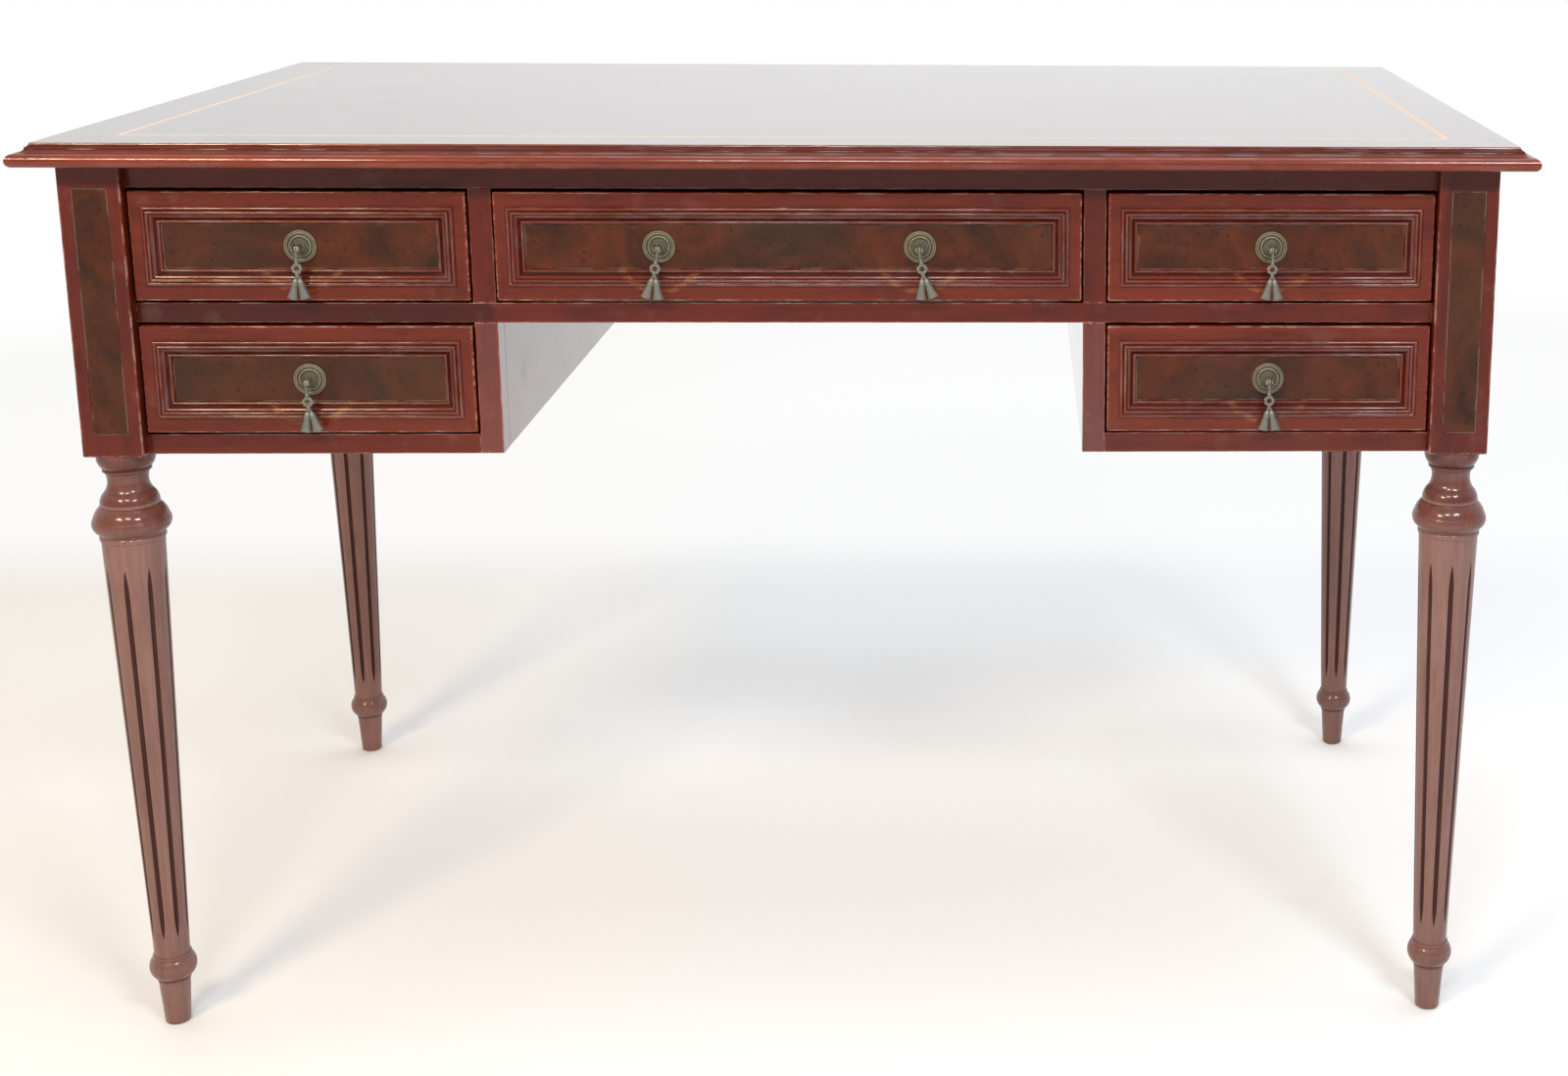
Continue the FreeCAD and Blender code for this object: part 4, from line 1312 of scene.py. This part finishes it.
class DESK_OT_legs(bpy.types.Operator):
    """Makes the four turned and fluted legs."""

    bl_idname = "desk.legs"
    bl_label = "Legs"
    bl_options = {"REGISTER", "UNDO"}

    def execute(self, context):
        leg = fluted_leg(context.scene.desk_sizes)
        for row in ("front", "back"):
            for side in SIDES:
                node = f"leg_{row}_{side}"
                low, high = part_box(node)
                mesh = leg.copy()
                mesh.transform(Matrix.Translation(((low.x + high.x) / 2, (low.y + high.y) / 2, 0)))
                piece(f"{side}_{row}_leg", mesh, "desk", node)
        bpy.data.meshes.remove(leg)
        return {"FINISHED"}


class DESK_OT_drawers(bpy.types.Operator):
    """Makes the drawer fronts with their mouldings and burl fields, and finishes the boxes."""

    bl_idname = "desk.drawers"
    bl_label = "Drawers"
    bl_options = {"REGISTER", "UNDO"}

    def execute(self, context):
        outline = Outline(MOULDING_LIP, 0, arc_steps=6).line(0, 0)
        outline.follow(MOULDING_SHARES, MOULDING_WIDTH, MOULDING_RISE, FIELD_RECESS)
        outline.line(MOULDING_WIDTH, -POCKET_DEPTH).line(MOULDING_LIP, -POCKET_DEPTH)
        outline.turned_round()
        lip = Vector((MOULDING_LIP, 0, MOULDING_LIP))
        for name in DRAWERS:
            body = "drawer_" + name
            low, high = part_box(body + "_front")
            frame_low, frame_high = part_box(body + "_moulding")
            pocket = frame_low + lip, frame_high - lip
            pocket[1].y = POCKET_DEPTH
            boards(
                name + "_drawer_front", body + "_front", body,
                drawer_wood("X", name), [(low, high)], context.scene.desk_sizes.front_round, pocket,
            )
            size = frame_high - frame_low
            woods = [moulding_wood(grain, name) for grain in "XZ"]
            mesh = framed(name + "_drawer_moulding", outline, size.x, size.z, *woods)
            middle = (low + high) / 2
            mesh.transform(Matrix.Translation((middle.x, low.y, middle.z)) @ TO_FRONT)
            piece(name + "_drawer_moulding", mesh, body, body + "_moulding")
            boards(
                name + "_drawer_field", body + "_field", body, burl(),
                [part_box(body + "_field")], BURL_FIELD_ARRIS,
            )
            coat(body + "_box", inside_wood("Y"))
        return {"FINISHED"}


def rosette(target, sizes):
    """Back plate with rings and beads, looking up."""
    outline = Outline(0, 0, arc_steps=6).line(ROSETTE_RADIUS, 0)
    outline.follow(ROSETTE_SHARES, ROSETTE_RADIUS, ROSETTE_HEIGHT)
    outline.line(0, ROSETTE_HEIGHT)
    lathe(target, outline.points, ROSETTE_SIDES, outline.prominence(ROSETTE_WEAR_REACH))
    rows = ((sizes.beads, INNER_BEADS), (RIM_BEAD_COUNT, RIM_BEADS))
    for count, (out_share, up_share, radius) in rows:
        circle = bpy.data.meshes.new("bead_circle")
        points = ring(ROSETTE_RADIUS * out_share, ROSETTE_HEIGHT * up_share, count)
        circle.from_pydata(points, [], [])
        inputs = {"Bead radius": radius, "Metal": aged_metal("plate")}
        beads = grown(circle, bead_ring_tree, inputs)
        mark(beads, "worn", [WORN_BEAD] * len(beads.vertices))
        hand_over(beads, target)


def fork(target):
    """Stud with its forked head, pin and nut, looking up."""
    web = PIN_REACH - LOOP_RADIUS - FORK_ROOM
    foot = ROSETTE_HEIGHT * 0.8
    collar, shoulder, top = ((NECK_RADIUS + out * MM, web + up * MM) for out, up in NECK_STEPS)
    neck = Outline(0, foot, arc_steps=6).line(NECK_RADIUS + NECK_FOOT, foot)
    neck.arc(NECK_RADIUS, (ROSETTE_HEIGHT + web) / 2, *collar)
    neck.line(*shoulder).line(*top).line(0, top[1])
    lathe(target, neck.points, NECK_SIDES)

    loop = [Vector((0, side * FORK_RADIUS, web + FORK_EASE)) for side in (-1, 1)]
    for step in range(FORK_STEPS + 1):
        angle = math.pi * step / FORK_STEPS
        out = Vector((0, math.cos(angle), math.sin(angle))) * FORK_RADIUS
        loop.append(Vector((0, 0, PIN_REACH)) + out)
    inner, ball = FORK_SLOT / 2, FORK_SLOT / 2 + FORK_CHEEK + FORK_EASE
    centre = Vector((0, 0, PIN_REACH - FORK_EASE))
    for side in (1, -1):
        layers = []
        for step in range(CHEEK_STEPS + 1):
            x = inner + FORK_CHEEK * step / CHEEK_STEPS
            size = math.sqrt(1 - (x / ball) ** 2) / math.sqrt(1 - (inner / ball) ** 2)
            away = Vector((side * x, 0, 0))
            layers.append([centre.lerp(point, size) + away for point in loop])
        # The cheeks get bright bare metal, partly a painted highlight on the fork's head.
        skin(target, layers[::side], CHEEK_WEAR_AND_HIGHLIGHT)

    half = FORK_SLOT / 2 + FORK_CHEEK + PIN_END
    bar(target, PIN_RADIUS, Vector((-half, 0, PIN_REACH)), Vector((half, 0, PIN_REACH)))
    wood, nut = Vector((0, 0, -WOOD_UNDER_FIELD)), Vector((0, 0, -WOOD_UNDER_FIELD - NUT_HEIGHT))
    bar(target, NUT_RADIUS, nut, wood, NUT_SIDES, NUT_BEVEL)
    bar(target, STUD_RADIUS, Vector((0, 0, -STUD_TAIL)), nut + Vector((0, 0, NUT_BITE)))


def tassel(target, sizes):
    """One flared and pleated skirt with its bands and knot, hung from the origin."""
    rings = []
    for step in range(TASSEL_STEPS + 1):
        share = 1 - step / TASSEL_STEPS
        wide, deep = (
            TASSEL_TOP_RADIUS + (size / 2 - TASSEL_TOP_RADIUS) * share ** TASSEL_FLARE
            for size in (TASSEL_WIDTH, TASSEL_DEPTH)
        )
        fold = PLEAT_SHARE * share ** 0.5
        points = ellipse(sizes.pleats * PLEAT_COLUMNS, wide, deep, fold, sizes.pleats)
        rings.append([Vector((*point, -TASSEL_LENGTH * share)) for point in points])
    skin(target, rings)
    low, middle, neck, shoulder, top = KNOT_LEVELS
    knot = Outline(0, low).line(TASSEL_TOP_RADIUS * 0.9, low)
    knot.arc(KNOT_RADIUS, middle, KNOT_RADIUS * 0.78, neck)
    knot.arc(KNOT_RADIUS * 0.5, shoulder, 0, top)
    lathe(target, knot.points, KNOT_SIDES, [WORN_KNOT] * len(knot.points))
    band = ellipse(BAND_SIDES[1], *BAND_SIZE)
    for level in BAND_LEVELS:
        centre = Vector((0, 0, level))
        torus(target, TASSEL_TOP_RADIUS + BAND_OUT, band, BAND_SIDES[0], centre)


def hanging_drop(sizes, lean):
    """Mesh of a hanging drop about its pin's axis, front towards -Y."""
    built = bmesh.new()
    hole = PIN_RADIUS + LOOP_PLAY
    section = ellipse(LOOP_SIDES[1], (LOOP_RADIUS - hole) / 2, LOOP_WIDTH / 2)
    round_x = Matrix.Rotation(math.pi / 2, 3, "Y")
    torus(built, (LOOP_RADIUS + hole) / 2, section, LOOP_SIDES[0], Vector((0, 0, 0)), round_x)
    bead = -STEM_LENGTH + BEAD_RADIUS
    stem = Outline(0, -STEM_LENGTH, arc_steps=6).line(BEAD_RADIUS * 0.6, -STEM_LENGTH)
    stem.arc(BEAD_RADIUS, bead, STEM_RADIUS * 0.85, bead + BEAD_RADIUS)
    stem.arc(STEM_RADIUS * 0.8, (bead - LOOP_RADIUS) / 2, STEM_RADIUS * 1.2, -LOOP_RADIUS * 0.8)
    lathe(built, stem.line(0, -LOOP_RADIUS * 0.8).points, STEM_SIDES)

    bow_level = -STEM_LENGTH - BOW_RADIUS
    strands = ellipse(BOW_SIDES[1], BOW_WIRE, BOW_WIRE, BOW_STRAND / BOW_WIRE, 2)
    round_y = Matrix.Rotation(-math.pi / 2, 3, "X")
    bow_middle = Vector((0, 0, bow_level))
    torus(built, BOW_RADIUS, strands, BOW_SIDES[0], bow_middle, round_y, BOW_TWIST)
    skirt_top = -(DROP_LENGTH - TASSEL_LENGTH * math.cos(math.radians(TASSEL_SPREAD)))
    for way in (-1, 1):
        start = Vector((-way * KNOT_RADIUS / 2, -way * CORD_OFFSET, bow_level - BOW_RADIUS))
        end = Vector((way * KNOT_OFFSET, 0, skirt_top + KNOT_RADIUS))
        bar(built, CORD_RADIUS, start, end, bevel=CORD_BEVEL)
        first = len(built.verts)
        tassel(built, sizes)
        place = Matrix.Translation((way * KNOT_OFFSET, 0, skirt_top))
        place @= Matrix.Rotation(math.radians(-way * TASSEL_SPREAD), 4, "Y")
        built.verts.ensure_lookup_table()
        for vertex in built.verts[first:]:
            vertex.co = place @ vertex.co

    pivot = Vector((0, 0, -LOOP_RADIUS))
    for vertex in built.verts:
        share = min(max((-LOOP_RADIUS - vertex.co.z) / LEAN_LENGTH, 0), 1)
        turn = Matrix.Rotation(math.radians(-lean * share), 3, "Y")
        vertex.co = turn @ (vertex.co - pivot) + pivot
    return smoothed(settle(built, "drop", aged_metal("drop")), DROP_SHARP)


class DESK_OT_pulls(bpy.types.Operator):
    """Makes the pulls' rosettes with their studs, and the hanging tassel drops."""

    bl_idname = "desk.pulls"
    bl_label = "Pulls"
    bl_options = {"REGISTER", "UNDO"}

    def execute(self, context):
        sizes = context.scene.desk_sizes
        for name in DRAWERS:
            body = "drawer_" + name
            field_low, field_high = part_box(body + "_field")
            built = bmesh.new()
            for drop, (drawer, lean) in DROPS.items():
                if drawer != name:
                    continue
                low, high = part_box(f"pull_{drop}_drop")
                place = Vector(((low.x + high.x) / 2, field_low.y, (field_low.z + field_high.z) / 2))
                unit = bmesh.new()
                rosette(unit, sizes)
                fork(unit)
                matrix = Matrix.Translation(place) @ TO_FRONT
                bmesh.ops.transform(unit, matrix=matrix, verts=unit.verts)
                hand_over(settle(unit, "fittings"), built)
                mesh = hanging_drop(sizes, lean)
                mesh.transform(Matrix.Translation(place - Vector((0, PIN_REACH, 0))))
                node = f"pull_{drop}_drop"
                piece(drop + "_tassel_drop", mesh, "pull_" + drop, node)
            mesh = smoothed(settle(built, name, aged_metal("plate")), FITTINGS_SHARP)
            piece(name + "_pull_fittings", mesh, body, f"pull_{name}_fittings")
        return {"FINISHED"}


class DESK_OT_inside(bpy.types.Operator):
    """Finishes the runners, kickers, stops, glue blocks, screws and bolts."""

    bl_idname = "desk.inside"
    bl_label = "Inside"
    bl_options = {"REGISTER", "UNDO"}

    def execute(self, context):
        for node in ("drawer_runners", "drawer_kickers", "drawer_stops", "glue_blocks"):
            coat(node, inside_wood("Y"))
        for node in ("leg_bolts", "top_screws"):
            coat(node, steel())
        return {"FINISHED"}


def add_floor(stage):
    """A round floor that fades to the white round it."""
    surface = Surface("pale_floor")
    rays = surface.node("ShaderNodeLightPath").outputs
    camera, glossy = (Value(surface, rays[ray]) for ray in ("Is Camera Ray", "Is Glossy Ray"))
    seen = camera.math("MAXIMUM", glossy)
    x, y, _ = surface.separate(surface.place)
    away = (x * x + y * y).math("SQRT").step(*FLOOR_FADE)
    away = away.math("MAXIMUM", y.step(*FLOOR_FADE_BEHIND) * 0.8)
    grime = surface.noise(3.0, detail=5, roughness=0.7).step(0.66, 0.76)
    # Painted warm light: the floor is browner towards the left, under the warm lamp.
    surface.colour = surface.blend(x.step(0, -0.9) * 0.5, stage.floor_colour, FLOOR_WARM_LIGHT)
    surface.cover(grime * 0.10, FLOOR_GRIME)
    surface.set(Base_Color=surface.colour, Roughness=0.8, Specular_IOR_Level=0.1)
    plain = surface.shader.outputs[0]
    white = surface.first("ShaderNodeEmission", {"Color": WHITE, "Strength": 1.0})
    lift = surface.first("ShaderNodeEmission", {"Color": FLOOR_LIFT, "Strength": FLOOR_LIFT_STRENGTH})
    lifted = surface.first("ShaderNodeAddShader", {0: plain, 1: lift})
    near = surface.first("ShaderNodeMixShader", {0: seen, 1: plain, 2: lifted})
    whole = surface.first("ShaderNodeMixShader", {0: away * seen, 1: near, 2: white})
    surface.feed(surface.output.inputs["Surface"], whole)

    built = bmesh.new()
    bmesh.ops.create_circle(built, cap_ends=True, segments=FLOOR_SIDES, radius=stage.floor_radius)
    new_object("floor", settle(built, "floor", surface.material))


def add_surroundings():
    """White behind the desk, darker in front of it as in a room."""
    world = bpy.data.worlds.new("surroundings")
    world.use_nodes = True
    world.node_tree.nodes.clear()
    bpy.context.scene.world = world
    graph = Graph(world.node_tree)
    _, y, z = graph.separate(graph.node("ShaderNodeTexCoord").outputs["Generated"])
    behind = (y + z * 0.5).step(-0.35, 0.45)
    room = ROOM_SHARE + behind * (1 - ROOM_SHARE)
    camera = Value(graph, graph.node("ShaderNodeLightPath").outputs["Is Camera Ray"])
    strength = camera + (1 - camera) * room
    light = graph.first("ShaderNodeBackground", {"Color": WHITE, "Strength": strength})
    graph.node("ShaderNodeOutputWorld", {"Surface": light})


def add_lamp(name, place, size, power, colour):
    data = bpy.data.lights.new(name, "AREA")
    data.shape = "RECTANGLE"
    data.size, data.size_y = size
    data.energy = power
    data.color = colour
    made = new_object(name, data)
    made.location = place
    aim = Vector(LAMP_TARGET) - Vector(place)
    made.rotation_euler = aim.to_track_quat("-Z", "Y").to_euler()


def add_camera():
    data = bpy.data.cameras.new("camera")
    data.sensor_width = SENSOR_WIDTH
    data.lens = FOCAL_PIXELS / PHOTO_WIDTH * SENSOR_WIDTH
    data.shift_x = (PHOTO_WIDTH / 2 - AXIS_PIXEL[0]) / PHOTO_WIDTH
    data.shift_y = (AXIS_PIXEL[1] - PHOTO_HEIGHT / 2) / PHOTO_WIDTH
    data.clip_start, data.clip_end = CAMERA_RANGE
    made = new_object("camera", data)
    made.location = CAMERA_PLACE
    made.rotation_euler = [math.radians(turn) for turn in CAMERA_TURN]
    bpy.context.scene.camera = made


class DESK_OT_stage(bpy.types.Operator):
    """Makes the floor, the surrounding light, the camera and the lamps."""

    bl_idname = "desk.stage"
    bl_label = "Stage"
    bl_options = {"REGISTER", "UNDO"}

    def execute(self, context):
        stage = context.scene.desk_stage
        add_floor(stage)
        add_surroundings()
        add_camera()
        for name, (place, size, power, colour) in LAMPS.items():
            add_lamp(name, place, size, power * stage.lamp_power, colour)
        context.scene.view_settings.view_transform = "Standard"
        return {"FINISHED"}


class DESK_PT_panel(bpy.types.Panel):
    """Lists the desk's sizes, finishes and operators."""

    bl_idname = "DESK_PT_panel"
    bl_label = "Writing desk"
    bl_space_type = "VIEW_3D"
    bl_region_type = "UI"
    bl_category = "Desk"

    def draw(self, context):
        for label in GROUPS:
            group = getattr(context.scene, label)
            box = self.layout.box()
            for field in group.__annotations__:
                box.prop(group, field)
        for operator in OPERATORS:
            self.layout.operator(operator.bl_idname)


GROUPS = {"desk_sizes": DeskSizes, "desk_finish": DeskFinish, "desk_stage": DeskStage}
OPERATORS = (
    DESK_OT_top,
    DESK_OT_case,
    DESK_OT_legs,
    DESK_OT_drawers,
    DESK_OT_pulls,
    DESK_OT_inside,
    DESK_OT_stage,
)
CLASSES = (*GROUPS.values(), *OPERATORS, DESK_PT_panel)


def register():
    for kind in CLASSES:
        bpy.utils.register_class(kind)
    for label, group in GROUPS.items():
        setattr(bpy.types.Scene, label, PointerProperty(type=group))


def unregister():
    for label in GROUPS:
        delattr(bpy.types.Scene, label)
    for kind in reversed(CLASSES):
        bpy.utils.unregister_class(kind)


def main():
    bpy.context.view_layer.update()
    register()
    for operator in OPERATORS:
        group, name = operator.bl_idname.split(".")
        getattr(getattr(bpy.ops, group), name)()


if __name__ == "__main__":
    main()
